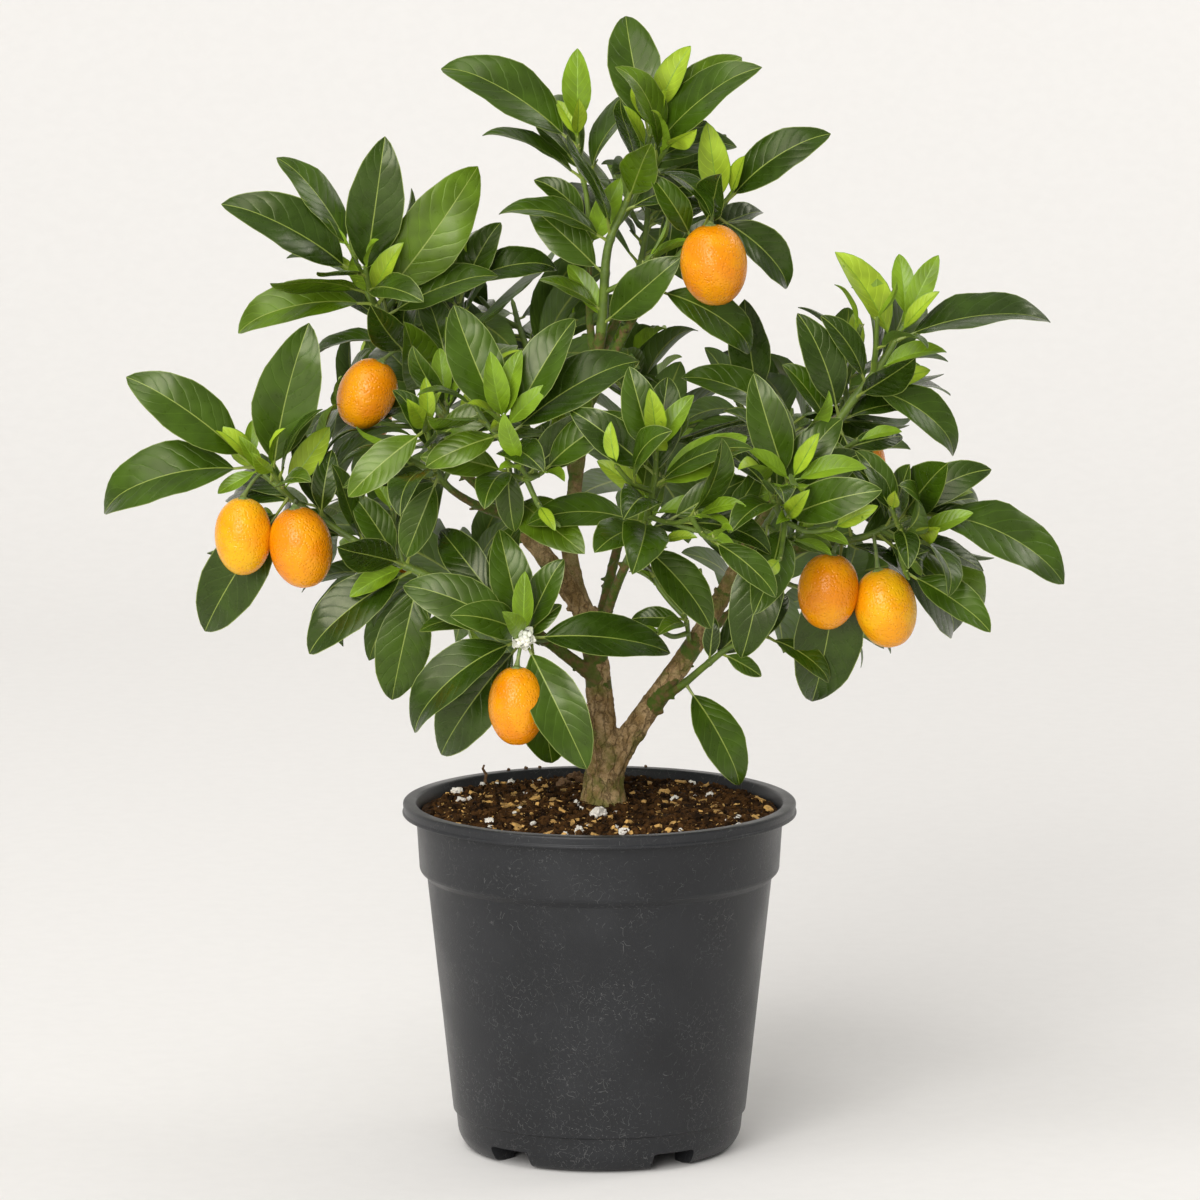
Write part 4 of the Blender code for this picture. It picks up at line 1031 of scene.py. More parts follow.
def add_bud(bundle, root, way, size, slot):
    """A small pointed bud: a low spindle of three rings."""
    points = [root + way * size * share for share in (-0.3, 0.35, 0.8, 1.5)]
    add_tube(bundle, points, [size * 0.3, size * 0.52, size * 0.42, size * 0.06], 5, slot, [1] * 4)


# Trunk and boughs

def plain_object(name, points, faces, edges=()):
    """A bare object, used while a piece is made."""
    mesh = bpy.data.meshes.new(name)
    mesh.from_pydata([tuple(p) for p in points], edges, faces)
    made = bpy.data.objects.new(name, mesh)
    bpy.context.scene.collection.objects.link(made)
    return made


def discard(made):
    """Takes a bare object away with its mesh."""
    mesh = made.data
    bpy.data.objects.remove(made)
    bpy.data.meshes.remove(mesh)


def evaluated_mesh(made):
    """The object's mesh as its modifiers leave it."""
    graph = bpy.context.evaluated_depsgraph_get()
    return bpy.data.meshes.new_from_object(made.evaluated_get(graph))


def wood_tubes(lines, knots):
    """All the wood as one bundle of overlapping tubes, with a flare at each fork and knots along it."""
    dice = random.Random(61)
    wood = Bundle()
    samples = []
    for name, line in lines.items():
        last = line.neck if name != "trunk" else 1.0
        first = 0.0
        count = max(6, int(last * line.length / (3 * MM)))
        points, radii = [], []
        for i in range(count + 1):
            share = first + (last - first) * i / count
            run = share * line.length
            radius = line.radius(share) + 0.12 * MM
            if name == "trunk":
                radius *= 1 + 0.1 * math.exp(-run / (5 * MM))
            else:
                radius *= 1 + 0.28 * math.exp(-run / (7 * MM))
            points.append(line.at(share))
            radii.append(radius)
            samples.append((points[-1], line.along(share), line.radius(share), run))
        if name == "trunk":
            points[0] = points[0] - Vector((0, 0, 2.5 * MM))
        add_tube(wood, points, radii, 20 if radii[0] > 4 * MM else 12, 0)
        if name == "trunk":
            continue
        for _ in range(int(knots * last * line.length / (100 * MM))):
            share = dice.uniform(0.12, 0.97) * last
            along = line.along(share)
            out = along.orthogonal().normalized()
            out.rotate(Matrix.Rotation(dice.uniform(0, 6.3), 3, along))
            way = (out + along * dice.uniform(0.2, 0.9)).normalized()
            radius = line.radius(share)
            foot = line.at(share) + out * radius * 0.5
            size = min(radius * 0.6, dice.uniform(1.2, 2.8) * MM)
            reach = radius * 0.5 + dice.uniform(1.2, 4.0) * MM
            ends = [foot, foot + way * reach * 0.6, foot + way * reach]
            add_tube(wood, ends, [size, size * 0.8, size * 0.45], 7, 0)
    return wood, samples


def bark_relief(points, normals, samples, depth):
    """Each point moved along its normal: long fissures, rings at old leaf scars, and fine roughness.
    It also gives each point's age, from 0 on green wood to 1 on old bark."""
    tree = kdtree.KDTree(len(samples))
    for i, sample in enumerate(samples):
        tree.insert(sample[0], i)
    tree.balance()
    moved, ages = [], []
    for point, normal in zip(points, normals):
        _, i, _ = tree.find(point)
        middle, along, radius, run = samples[i]
        away = point - middle
        run += away.dot(along)
        around = (away - away.dot(along) * along).normalized()
        age = min(max((radius - 2.2 * MM) / (4.2 * MM), 0.0), 1.0)
        stretched = around * radius * 0.9 + along * run * 0.16
        crack = noise.noise(stretched * 430)
        crack = min(0.0, crack + 0.08) * 1.7 + 0.35 * noise.noise(stretched * 1100)
        ring = max(0.0, noise.noise(Vector((run * 260, radius * 900, 3.1))) - 0.25)
        lump = noise.noise(point * 170) * 0.5 + noise.noise(point * 420) * 0.35
        move = age * depth * (crack + lump * 0.8) + 0.5 * MM * ring + 0.15 * MM * lump
        moved.append(point + normal * move)
        ages.append(age)
    return moved, ages


def build_wood(depth, knots, cell):
    """The trunk and boughs as one mesh: tubes fused by a fine remesh, eased, with the bark's relief."""
    lines = plant()["lines"]
    wood, samples = wood_tubes(lines, knots)
    rough = plain_object("rough_wood", np.concatenate(wood.points), wood.faces)
    remesh = rough.modifiers.new("fuse", "REMESH")
    remesh.mode = "VOXEL"
    remesh.voxel_size = cell
    ease = rough.modifiers.new("ease", "SMOOTH")
    ease.factor = 0.5
    ease.iterations = 4
    mesh = evaluated_mesh(rough)
    discard(rough)
    points = [v.co.copy() for v in mesh.vertices]
    normals = [v.normal.copy() for v in mesh.vertices]
    points, ages = bark_relief(points, normals, samples, depth)
    mesh.vertices.foreach_set("co", np.array([tuple(p + AXIS) for p in points], np.float32).ravel())
    mesh.attributes.new("age", "FLOAT", "POINT").data.foreach_set("value", np.array(ages, np.float32))
    return mesh


# Fruit

def fruit_frame(fruit):
    """The turn that takes +Z to the way from a fruit's foot to its stalk."""
    return (-fruit["down"]).to_track_quat("Z", "Y").to_matrix()


def add_fruit(bundle, fruit, dice, around=40, rings=28):
    """An oval fruit with a shallow dimple at its crown and a small scar at its foot."""
    turn = fruit_frame(fruit)
    wide, high = fruit["width"] / 2, fruit["length"] / 2
    uneven = dice.uniform(0, 99)
    points = []
    for i in range(rings + 1):
        angle = math.pi * i / rings
        level = math.cos(angle)
        radius = math.sin(angle) ** 0.92 * (1 + 0.03 * level)
        crown = math.exp(-((1 - level) / 0.012)) * 0.05 + math.exp(-((1 + level) / 0.006)) * 0.03
        z = level * (1 - crown)
        for k in range(around):
            way = 2 * math.pi * k / around
            spot = Vector((math.cos(way) * radius, math.sin(way) * radius, z))
            spot *= 1 + 0.014 * noise.noise(spot * 1.6 + Vector((uneven, 0, 0)))
            points.append(fruit["centre"] + turn @ Vector((spot.x * wide, spot.y * wide, spot.z * high)))
    merged = bmesh.new()
    corners = [merged.verts.new(p) for p in points]
    for i, face in enumerate(ring_wall(rings + 1, around, outward=True)):
        merged.faces.new([corners[c] for c in face]).material_index = int(i >= (rings - 1) * around)
    bmesh.ops.remove_doubles(merged, verts=merged.verts, dist=1e-7)
    slots = [face.material_index for face in merged.faces]
    bundle.add(*taken_from(merged), slots)


def add_calyx(bundle, fruit, dice):
    """The green cap at a fruit's crown, a low disc with five short lobes, and its stalk."""
    turn = fruit_frame(fruit)
    crown = fruit["centre"] + turn @ Vector((0, 0, fruit["length"] * 0.5 - 0.9 * MM))
    start = dice.uniform(0, 6.3)
    points = []
    rings = ((0.2, 1.3), (1.5, 1.2), (2.5, 0.55), (2.6, 0.1), (1.4, 0.1), (0.2, 0.1))
    count = 20
    for radius, height in rings:
        for k in range(count):
            angle = start + 2 * math.pi * k / count
            lobe = 1 + (0.34 * math.cos(5 * angle) if radius > 2 else 0.0)
            drop = -0.35 if radius > 2 else 0.0
            spot = Vector((math.cos(angle) * radius * lobe, math.sin(angle) * radius * lobe,
                           height + drop * max(0, math.cos(5 * angle))))
            points.append(crown + turn @ (spot * MM))
    last = (len(rings) - 1) * count
    caps = [tuple(range(count)), tuple(last + k for k in range(count - 1, -1, -1))]
    bundle.add(points, ring_wall(len(rings), count, outward=True) + caps, 2)
    top = crown + turn @ Vector((0, 0, 1.0 * MM))
    bow = fruit["root"].lerp(top, 0.5) + Vector((0, 0, 1.5 * MM))
    line = Line([fruit["root"], bow, top], (2.2 * MM, 2.4 * MM), steps=4)
    points = [line.at(i / 8) for i in range(9)]
    add_tube(bundle, points, [1.15 * MM, *[0.95 * MM] * 6, 1.2 * MM, 1.7 * MM], 8, 2)


# Blossom

def add_petal(bundle, root, way, out, length, width, slot):
    """A thick spoon of a petal that stands along way and cups away from out."""
    side = way.cross(out).normalized()
    points, faces = [], []
    rows, columns = 6, 5
    for layer in (0, 1):
        for i in range(rows):
            t = i / (rows - 1)
            half = width / 2 * max(0.25 if i == 0 else 0.3, math.sin(math.pi * min(0.12 + 0.8 * t, 1)))
            middle = root + way * length * t + out * length * 0.3 * math.sin(math.pi * t * 0.8)
            for k in range(columns):
                x = 2 * k / (columns - 1) - 1
                deep = -out * width * 0.22 * x * x
                points.append(middle + side * half * x + deep + out * (0.4 * MM if layer else 0.0))
    area = rows * columns
    for i in range(rows - 1):
        for k in range(columns - 1):
            a = i * columns + k
            faces.append((a, a + columns, a + columns + 1, a + 1))
            faces.append((area + a, area + a + 1, area + a + columns + 1, area + a + columns))
    edge = [*range(columns), *[i * columns + columns - 1 for i in range(1, rows)],
            *[(rows - 1) * columns + k for k in range(columns - 2, -1, -1)],
            *[i * columns for i in range(rows - 2, 0, -1)]]
    for a, b in zip(edge, [*edge[1:], edge[0]]):
        faces.append((a, b, area + b, area + a))
    bundle.add(points, faces, slot)


# Pot

# The pot's outline: (radius, height, rounding) in millimetres, from inside the lip, over it and down to
# the foot, and then back up the inside.
POT_OUTLINE = (
    (93.3, 178, 1.3), (99.9, 178, 1.5), (99.4, 173.6, 0.3), (100.1, 172.9, 0.3), (100.0, 171.9, 0.4),
    (93.1, 171.2, 0.4), (91.4, 144.2, 0.5), (90.9, 142.9, 0.4), (87.6, 139.6, 0.6), (74.7, 20.4, 0.3),
    (74.5, 19.3, 0.3), (73.1, 18.3, 0.3), (72.0, 7.4, 3.0), (68.3, 1.4, 2.0), (61, 0, 0.8),
    (54.2, 0, 0.8), (54.2, 10, 0.8), (0, 10, 0), (0, 12, 0), (69.4, 12, 2.0), (72.4, 21, 2.0),
    (85.7, 139.5, 2.0), (89.3, 145.0, 2.0), (91.0, 171.0, 2.0),
)


# How many feet the pot stands on, and where the first gap between them is, in degrees about its axis
FEET = 5
FIRST_GAP = -58


def rounded(corners, steps=5):
    """The outline with each corner turned into an arc."""
    line = []
    for i, (r, z, rounding) in enumerate(corners):
        here = Vector((r, z))
        before, after = Vector(corners[i - 1][:2]), Vector(corners[(i + 1) % len(corners)][:2])
        if not rounding:
            line.append(here)
            continue
        back, ahead = (before - here), (after - here)
        cut = min(rounding, back.length * 0.45, ahead.length * 0.45)
        start, end = here + back.normalized() * cut, here + ahead.normalized() * cut
        for k in range(steps + 1):
            t = k / steps
            line.append((1 - t) ** 2 * start + 2 * t * (1 - t) * here + t**2 * end)
    return line


def turned(name, line, steps):
    """A closed outline of (radius, height) points in millimetres, turned about Z."""
    edges = [(i, (i + 1) % len(line)) for i in range(len(line))]
    made = plain_object(name, [(p.x * MM, 0, p.y * MM) for p in line], [], edges)
    screw = made.modifiers.new("turn", "SCREW")
    screw.steps = screw.render_steps = steps
    screw.use_merge_vertices = True
    screw.merge_threshold = 0.00001
    mesh = evaluated_mesh(made)
    discard(made)
    body = bmesh.new()
    body.from_mesh(mesh)
    bmesh.ops.remove_doubles(body, verts=body.verts, dist=1e-6)
    bmesh.ops.recalc_face_normals(body, faces=body.faces)
    body.to_mesh(mesh)
    body.free()
    return mesh


def foot_gap(turn, width, height):
    """A block with rounded long edges, which cuts one gap between two feet."""
    block = bmesh.new()
    bmesh.ops.create_cube(block, size=1)
    bmesh.ops.scale(block, vec=(50 * MM, width, 2 * height), verts=block.verts)
    long_edges = [e for e in block.edges if abs((e.verts[0].co - e.verts[1].co).x) > 10 * MM]
    bmesh.ops.bevel(block, geom=long_edges, offset=1.6 * MM, segments=4, affect="EDGES", profile=0.5)
    place = Matrix.Rotation(turn, 4, "Z") @ Matrix.Translation((65 * MM, 0, 0))
    bmesh.ops.transform(block, matrix=place, verts=block.verts)
    mesh = bpy.data.meshes.new("gap")
    block.to_mesh(mesh)
    block.free()
    return mesh


def drain_hole(turn):
    """A post that cuts one drain hole."""
    post = bmesh.new()
    bmesh.ops.create_cone(post, cap_ends=True, segments=24, radius1=5 * MM, radius2=5 * MM,
                          depth=12 * MM)
    bmesh.ops.translate(post, vec=(47 * MM * math.cos(turn), 47 * MM * math.sin(turn), 11 * MM),
                        verts=post.verts)
    mesh = bpy.data.meshes.new("hole")
    post.to_mesh(mesh)
    post.free()
    return mesh


def build_pot(steps, gap_width, gap_height):
    """The pot: a turned shell with rounded edges, whose foot ring five gaps part into feet."""
    shell = bpy.data.objects.new("rough_pot", turned("pot_shell", rounded(POT_OUTLINE), steps))
    bpy.context.scene.collection.objects.link(shell)
    cutters = bpy.data.collections.new("cutters")
    for i in range(FEET):
        turn = math.radians(FIRST_GAP + 360 / FEET * i)
        for mesh in (foot_gap(turn, gap_width, gap_height), drain_hole(turn)):
            cutters.objects.link(bpy.data.objects.new("cutter", mesh))
    cut = shell.modifiers.new("cut", "BOOLEAN")
    cut.operation = "DIFFERENCE"
    cut.operand_type = "COLLECTION"
    cut.collection = cutters
    cut.solver = "EXACT"
    mesh = evaluated_mesh(shell)
    discard(shell)
    for cutter in list(cutters.objects):
        discard(cutter)
    bpy.data.collections.remove(cutters)
    mesh.transform(Matrix.Translation(AXIS))
    return mesh


# Compost

def soil_height(x, y):
    """The compost's surface at a point: heaped round the trunk, lumpy, and lower at the wall."""
    radius = math.hypot(x, y)
    share = min(radius / SOIL_RADIUS, 1.0)
    heap = SOIL_CENTRE_HEIGHT + (SOIL_EDGE_HEIGHT - SOIL_CENTRE_HEIGHT) * share**1.5
    spot = Vector((x, y, 0.37))
    rough = (1.5 * noise.noise(spot * 55) + 1.1 * noise.noise(spot * 140) + 0.9 * noise.noise(spot * 330)
             + 0.45 * noise.noise(spot * 800)) * MM
    fade = 1 - 0.35 * share**8
    return heap + rough * fade - 0.6 * MM * share**10


def build_soil(rings=96, around=300):
    """The compost as one closed body: a rough top, a wall clear of the pot's, and a floor."""
    clear = 0.4
    wall = [(90.4, 171), (88.9, 145), (85.3, 139.5), (72.0, 21), (69.0, 12.6)]
    points = [(0, 0, soil_height(0, 0))]
    for i in range(1, rings + 1):
        radius = (SOIL_RADIUS - clear * MM) * i / rings
        for k in range(around):
            way = 2 * math.pi * k / around
            x, y = radius * math.cos(way), radius * math.sin(way)
            points.append((x, y, soil_height(x, y)))
    for radius, height in wall:
        for k in range(around):
            way = 2 * math.pi * k / around
            points.append(((radius - clear) * MM * math.cos(way), (radius - clear) * MM * math.sin(way),
                           height * MM))
    faces = [(0, 1 + k, 1 + (k + 1) % around) for k in range(around)]
    faces += ring_wall(rings + len(wall), around, first=1, outward=True)
    last = 1 + (rings + len(wall) - 1) * around
    faces.append(tuple(last + k for k in range(around - 1, -1, -1)))
    return points, faces


# Scattered bits

# The bend of the chips would start from the clock without this
CHIP_SEED = 1


def shape_set(name, count, make, seed):
    """A few small shapes in a collection of their own, for scattering."""
    dice = random.Random(seed)
    kinds = bpy.data.collections.new(name)
    for i in range(count):
        points, faces = make(dice)
        mesh = bpy.data.meshes.new(name)
        mesh.from_pydata([tuple(p) for p in points], [], faces)
        mesh.shade_smooth()
        kinds.objects.link(bpy.data.objects.new(f"{name}_{i}", mesh))
    return kinds


def lump_shape(rough, flat, detail):
    """A maker of rounded lumps, one unit across."""
    def make(dice):
        body = bmesh.new()
        bmesh.ops.create_icosphere(body, subdivisions=detail, radius=0.5)
        at = Vector((dice.uniform(0, 50), dice.uniform(0, 50), 0))
        long = dice.uniform(0.7, 1.0)
        for v in body.verts:
            v.co *= 1 + rough * noise.noise(v.co * 2.6 + at) + rough * 0.5 * noise.noise(v.co * 6 + at)
            v.co.y *= long
            v.co.z *= flat
        return taken_from(body)
    return make


def chip_shape(dice):
    """A chip of bark: a split flake, long, thin and angular."""
    noise.seed_set(CHIP_SEED)
    body = bmesh.new()
    bmesh.ops.create_cube(body, size=1)
    bmesh.ops.subdivide_edges(body, edges=body.edges[:], cuts=2, use_grid_fill=True)
    at = Vector((dice.uniform(0, 50), dice.uniform(0, 50), 0))
    wide, thin = dice.uniform(0.3, 0.6), dice.uniform(0.12, 0.28)
    for v in body.verts:
        taper = 1 - 0.5 * abs(v.co.x)
        v.co = Vector((v.co.x, v.co.y * wide * taper, v.co.z * thin))
        v.co += 0.09 * noise.noise_vector(v.co * 4 + at)
    return taken_from(body)


def fibre_shape(dice):
    """A bent fibre or root, one unit long."""
    fibre = Bundle()
    points = []
    bend, lift = dice.uniform(-0.35, 0.35), dice.uniform(0.0, 0.25)
    for i in range(7):
        t = i / 6
        points.append(Vector((t - 0.5, bend * math.sin(math.pi * t) + 0.05 * math.sin(9 * t + bend),
                              lift * math.sin(math.pi * t * 0.8))))
    add_tube(fibre, points, [0.03, 0.032, 0.028, 0.03, 0.026, 0.02, 0.012], 5, 0)
    return [Vector(p) for p in fibre.points[0]], fibre.faces


class Tree:
    """A node tree under construction: it adds nodes and joins their sockets."""

    def __init__(self, tree):
        self.tree = tree

    def node(self, kind, settings=None, **inputs):
        made = self.tree.nodes.new(kind)
        for name, value in (settings or {}).items():
            setattr(made, name, value)
        for name, value in inputs.items():
            self.feed(made, name, value)
        return made

    def feed(self, made, name, value):
        """Sets an input, named in small letters or by its number, to a value or to another's output."""
        if name.startswith("in_"):
            socket = made.inputs[int(name[3:])]
        else:
            socket = next(s for s in made.inputs
                          if s.enabled and s.name.lower().replace(" ", "_") == name)
        self.set(socket, value)

    def set(self, socket, value):
        if isinstance(value, bpy.types.NodeSocket):
            self.join(value, socket)
        else:
            socket.default_value = value

    def join(self, output, socket):
        self.tree.links.new(output, socket)

    def where(self):
        """The place on the object itself."""
        return self.node("ShaderNodeTexCoord").outputs["Object"]

    def worked(self, operation, first, second=0.0):
        return self.node("ShaderNodeMath", {"operation": operation}, in_0=first, in_1=second).outputs[0]

    def times(self, first, second):
        return self.worked("MULTIPLY", first, second)

    def plus(self, first, second):
        return self.worked("ADD", first, second)

    def minus(self, first, second):
        return self.worked("SUBTRACT", first, second)

    def ranged(self, value, low, high, to_low=0.0, to_high=1.0):
        """A value eased from one range to another."""
        return self.node("ShaderNodeMapRange", {"interpolation_type": "SMOOTHSTEP"}, value=value,
                         from_min=low, from_max=high, to_min=to_low, to_max=to_high).outputs[0]

    def noised(self, vector, scale, detail=3.0, roughness=0.55, distortion=0.0):
        return self.node("ShaderNodeTexNoise", vector=vector, scale=scale, detail=detail,
                         roughness=roughness, distortion=distortion).outputs[0]

    def mixed(self, factor, first, second):
        """A mix of two colours. Each may be a value or another's output."""
        mix = self.node("ShaderNodeMix", {"data_type": "RGBA", "blend_type": "MIX"}, in_0=factor)
        for socket, value in ((mix.inputs[6], first), (mix.inputs[7], second)):
            self.set(socket, value if isinstance(value, bpy.types.NodeSocket) else (*value, 1))
        return mix.outputs[2]

    def bumped(self, shader, height, distance, strength=1.0):
        """Relief on a shader: its depth in metres, and how strongly it is felt."""
        made = self.node("ShaderNodeBump", height=height, distance=distance, strength=strength)
        self.join(made.outputs[0], shader.inputs["Normal"])


def node_group(name, kind, inputs, outputs):
    """A node group with named sockets, and its builder."""
    group = bpy.data.node_groups.new(name, kind)
    for label, socket, value in inputs:
        made = group.interface.new_socket(name=label, in_out="INPUT", socket_type=socket)
        if value is not None:
            made.default_value = value
    for label, socket in outputs:
        group.interface.new_socket(name=label, in_out="OUTPUT", socket_type=socket)
    tree = Tree(group)
    return group, tree, tree.node("NodeGroupInput"), tree.node("NodeGroupOutput")


def scatter_group():
    """Geometry nodes that strew shapes over a surface, turned at random and sunk a little in."""
    if "strew" in bpy.data.node_groups:
        return bpy.data.node_groups["strew"]
    group, t, given, result = node_group("strew", "GeometryNodeTree", [
        ("Ground", "NodeSocketGeometry", None), ("Shapes", "NodeSocketCollection", None),
        ("Density", "NodeSocketFloat", 1000.0), ("Spacing", "NodeSocketFloat", 0.001),
        ("Smallest", "NodeSocketFloat", 0.001), ("Largest", "NodeSocketFloat", 0.003),
        ("Tilt", "NodeSocketFloat", 0.5), ("Rise", "NodeSocketFloat", 0.2), ("Seed", "NodeSocketInt", 0),
        ("Finish", "NodeSocketMaterial", None)], [("Strewn", "NodeSocketGeometry")])
    give = given.outputs
    spots = t.node("GeometryNodeDistributePointsOnFaces", {"distribute_method": "POISSON"},
                   mesh=give["Ground"], distance_min=give["Spacing"], density_max=give["Density"],
                   seed=give["Seed"])
    size = t.node("FunctionNodeRandomValue", {"data_type": "FLOAT"})
    t.join(give["Smallest"], size.inputs[2])
    t.join(give["Largest"], size.inputs[3])
    t.join(give["Seed"], size.inputs[8])
    tilt = t.node("ShaderNodeMath", {"operation": "MULTIPLY"}, in_0=give["Tilt"], in_1=-1.0)
    low = t.node("ShaderNodeCombineXYZ", x=tilt.outputs[0], y=tilt.outputs[0], z=0.0)
    high = t.node("ShaderNodeCombineXYZ", x=give["Tilt"], y=give["Tilt"], z=6.283)
    turn = t.node("FunctionNodeRandomValue", {"data_type": "FLOAT_VECTOR"})
    t.join(low.outputs[0], turn.inputs[0])
    t.join(high.outputs[0], turn.inputs[1])
    t.join(give["Seed"], turn.inputs[8])
    kinds = t.node("GeometryNodeCollectionInfo", collection=give["Shapes"], separate_children=True,
                   reset_children=True)
    placed = t.node("GeometryNodeInstanceOnPoints", points=spots.outputs["Points"],
                    instance=kinds.outputs[0], pick_instance=True, rotation=turn.outputs[0],
                    scale=size.outputs[1])
    lift = t.node("ShaderNodeMath", {"operation": "MULTIPLY"}, in_0=size.outputs[1], in_1=give["Rise"])
    up = t.node("ShaderNodeCombineXYZ", x=0.0, y=0.0, z=lift.outputs[0])
    raised = t.node("GeometryNodeSetPosition", geometry=placed.outputs[0], offset=up.outputs[0])
    real = t.node("GeometryNodeRealizeInstances", geometry=raised.outputs[0])
    dressed = t.node("GeometryNodeSetMaterial", geometry=real.outputs[0], material=give["Finish"])
    t.join(dressed.outputs[0], result.inputs[0])
    return group


def strewn(ground, kinds, finish, **sizes):
    """The mesh of shapes strewn over the ground."""
    group = scatter_group()
    spread = ground.modifiers.new("strew", "NODES")
    spread.node_group = group
    names = {item.name: item.identifier for item in group.interface.items_tree if item.in_out == "INPUT"}
    spread[names["Shapes"]] = kinds
    spread[names["Finish"]] = finish
    for name, value in sizes.items():
        spread[names[name.capitalize()]] = value
    mesh = evaluated_mesh(ground)
    ground.modifiers.clear()
    for each in list(kinds.objects):
        discard(each)
    bpy.data.collections.remove(kinds)
    return mesh


# Finishes

def finish(name, colour, roughness, **plain):
    """A material and its builder. Plain values go straight to the shader's own sockets."""
    made = bpy.data.materials.new(name)
    made.use_nodes = True
    made.diffuse_color = (*colour, 1)
    tree = Tree(made.node_tree)
    shader = made.node_tree.nodes["Principled BSDF"]
    shader.inputs["Base Color"].default_value = (*colour, 1)
    shader.inputs["Roughness"].default_value = roughness
    for label, value in plain.items():
        shader.inputs[label.replace("_", " ").title().replace("Ior", "IOR")].default_value = value
    return made, tree, shader


def shade(colour, share):
    """A colour made darker, or lighter with a share above one."""
    return tuple(c * share for c in colour)


def leaf_vein_group():
    """A leaf's side veins from its own place on the blade: how deep, and where each vein runs."""
    if "leaf_veins" in bpy.data.node_groups:
        return bpy.data.node_groups["leaf_veins"]
    group, t, given, result = node_group("leaf_veins", "ShaderNodeTree", [
        ("Place", "NodeSocketVector", None), ("Position", "NodeSocketVector", None),
        ("Pairs", "NodeSocketFloat", 8.0), ("Slant", "NodeSocketFloat", 0.2)],
        [("Height", "NodeSocketFloat"), ("Vein", "NodeSocketFloat"), ("Rib", "NodeSocketFloat")])
    apart = t.node("ShaderNodeSeparateXYZ", vector=given.outputs["Place"])
    across = t.worked("ABSOLUTE", t.minus(t.times(apart.outputs[0], 2.0), 1.0))
    sweep = t.plus(t.times(across, given.outputs["Slant"]),
                   t.times(t.times(across, across), 0.07))
    wander = t.noised(given.outputs["Position"], 130.0, 1.0)
    phase = t.minus(apart.outputs[1], sweep)
    phase = t.plus(phase, t.times(wander, 0.05))
    wave = t.worked("ABSOLUTE", t.minus(t.worked("FRACT", t.times(phase, given.outputs["Pairs"])), 0.5))
    vein = t.ranged(wave, 0.43, 0.49)
    vein = t.times(vein, t.ranged(across, 1.0, 0.75))
    pillow = t.times(t.times(wave, wave), -2.6)
    height = t.minus(pillow, t.times(vein, 0.25))
    t.join(height, result.inputs[0])
    t.join(vein, result.inputs[1])
    t.join(t.ranged(across, 0.07, 0.04), result.inputs[2])
    return group


def leaf_finish(name, colour, roughness, depth, rib=None, **plain):
    """A leaf's face: one plain colour a spray, with pillowed flesh between its veins. Beneath, where the
    blade has no rib of its own, the rib is drawn from the leaf's own map."""
    made, t, shader = finish(name, colour, roughness, **plain)
    place = t.node("ShaderNodeUVMap", {"uv_map": "place"})
    where = t.where()
    veins = t.node("ShaderNodeGroup", {"node_tree": leaf_vein_group()}, place=place.outputs[0],
                   position=where)
    cloud = t.noised(where, 60.0, 2.0)
    base = t.mixed(t.ranged(cloud, 0.3, 0.75), shade(colour, 0.8), shade(colour, 1.4))
    base = t.mixed(t.times(veins.outputs["Vein"], 0.45), base, shade(colour, 1.7))
    if rib:
        base = t.mixed(veins.outputs["Rib"], base, rib)
    t.join(base, shader.inputs["Base Color"])
    sheen = t.noised(where, 240.0, 2.0)
    t.join(t.ranged(sheen, 0.2, 0.8, roughness - 0.06, roughness + 0.08), shader.inputs["Roughness"])
    t.bumped(shader, veins.outputs["Height"], depth)
    return made


def mottled_finish(name, colour, other, roughness, scale, relief=0.0, relief_scale=500.0, **plain):
    """A plain finish with soft patches of a second colour and a little relief."""
    made, t, shader = finish(name, colour, roughness, **plain)
    where = t.where()
    patch = t.noised(where, scale, 4.0)
    t.join(t.mixed(t.ranged(patch, 0.35, 0.65), colour, other), shader.inputs["Base Color"])
    if relief:
        t.bumped(shader, t.noised(where, relief_scale, 4.0), relief)
    return made


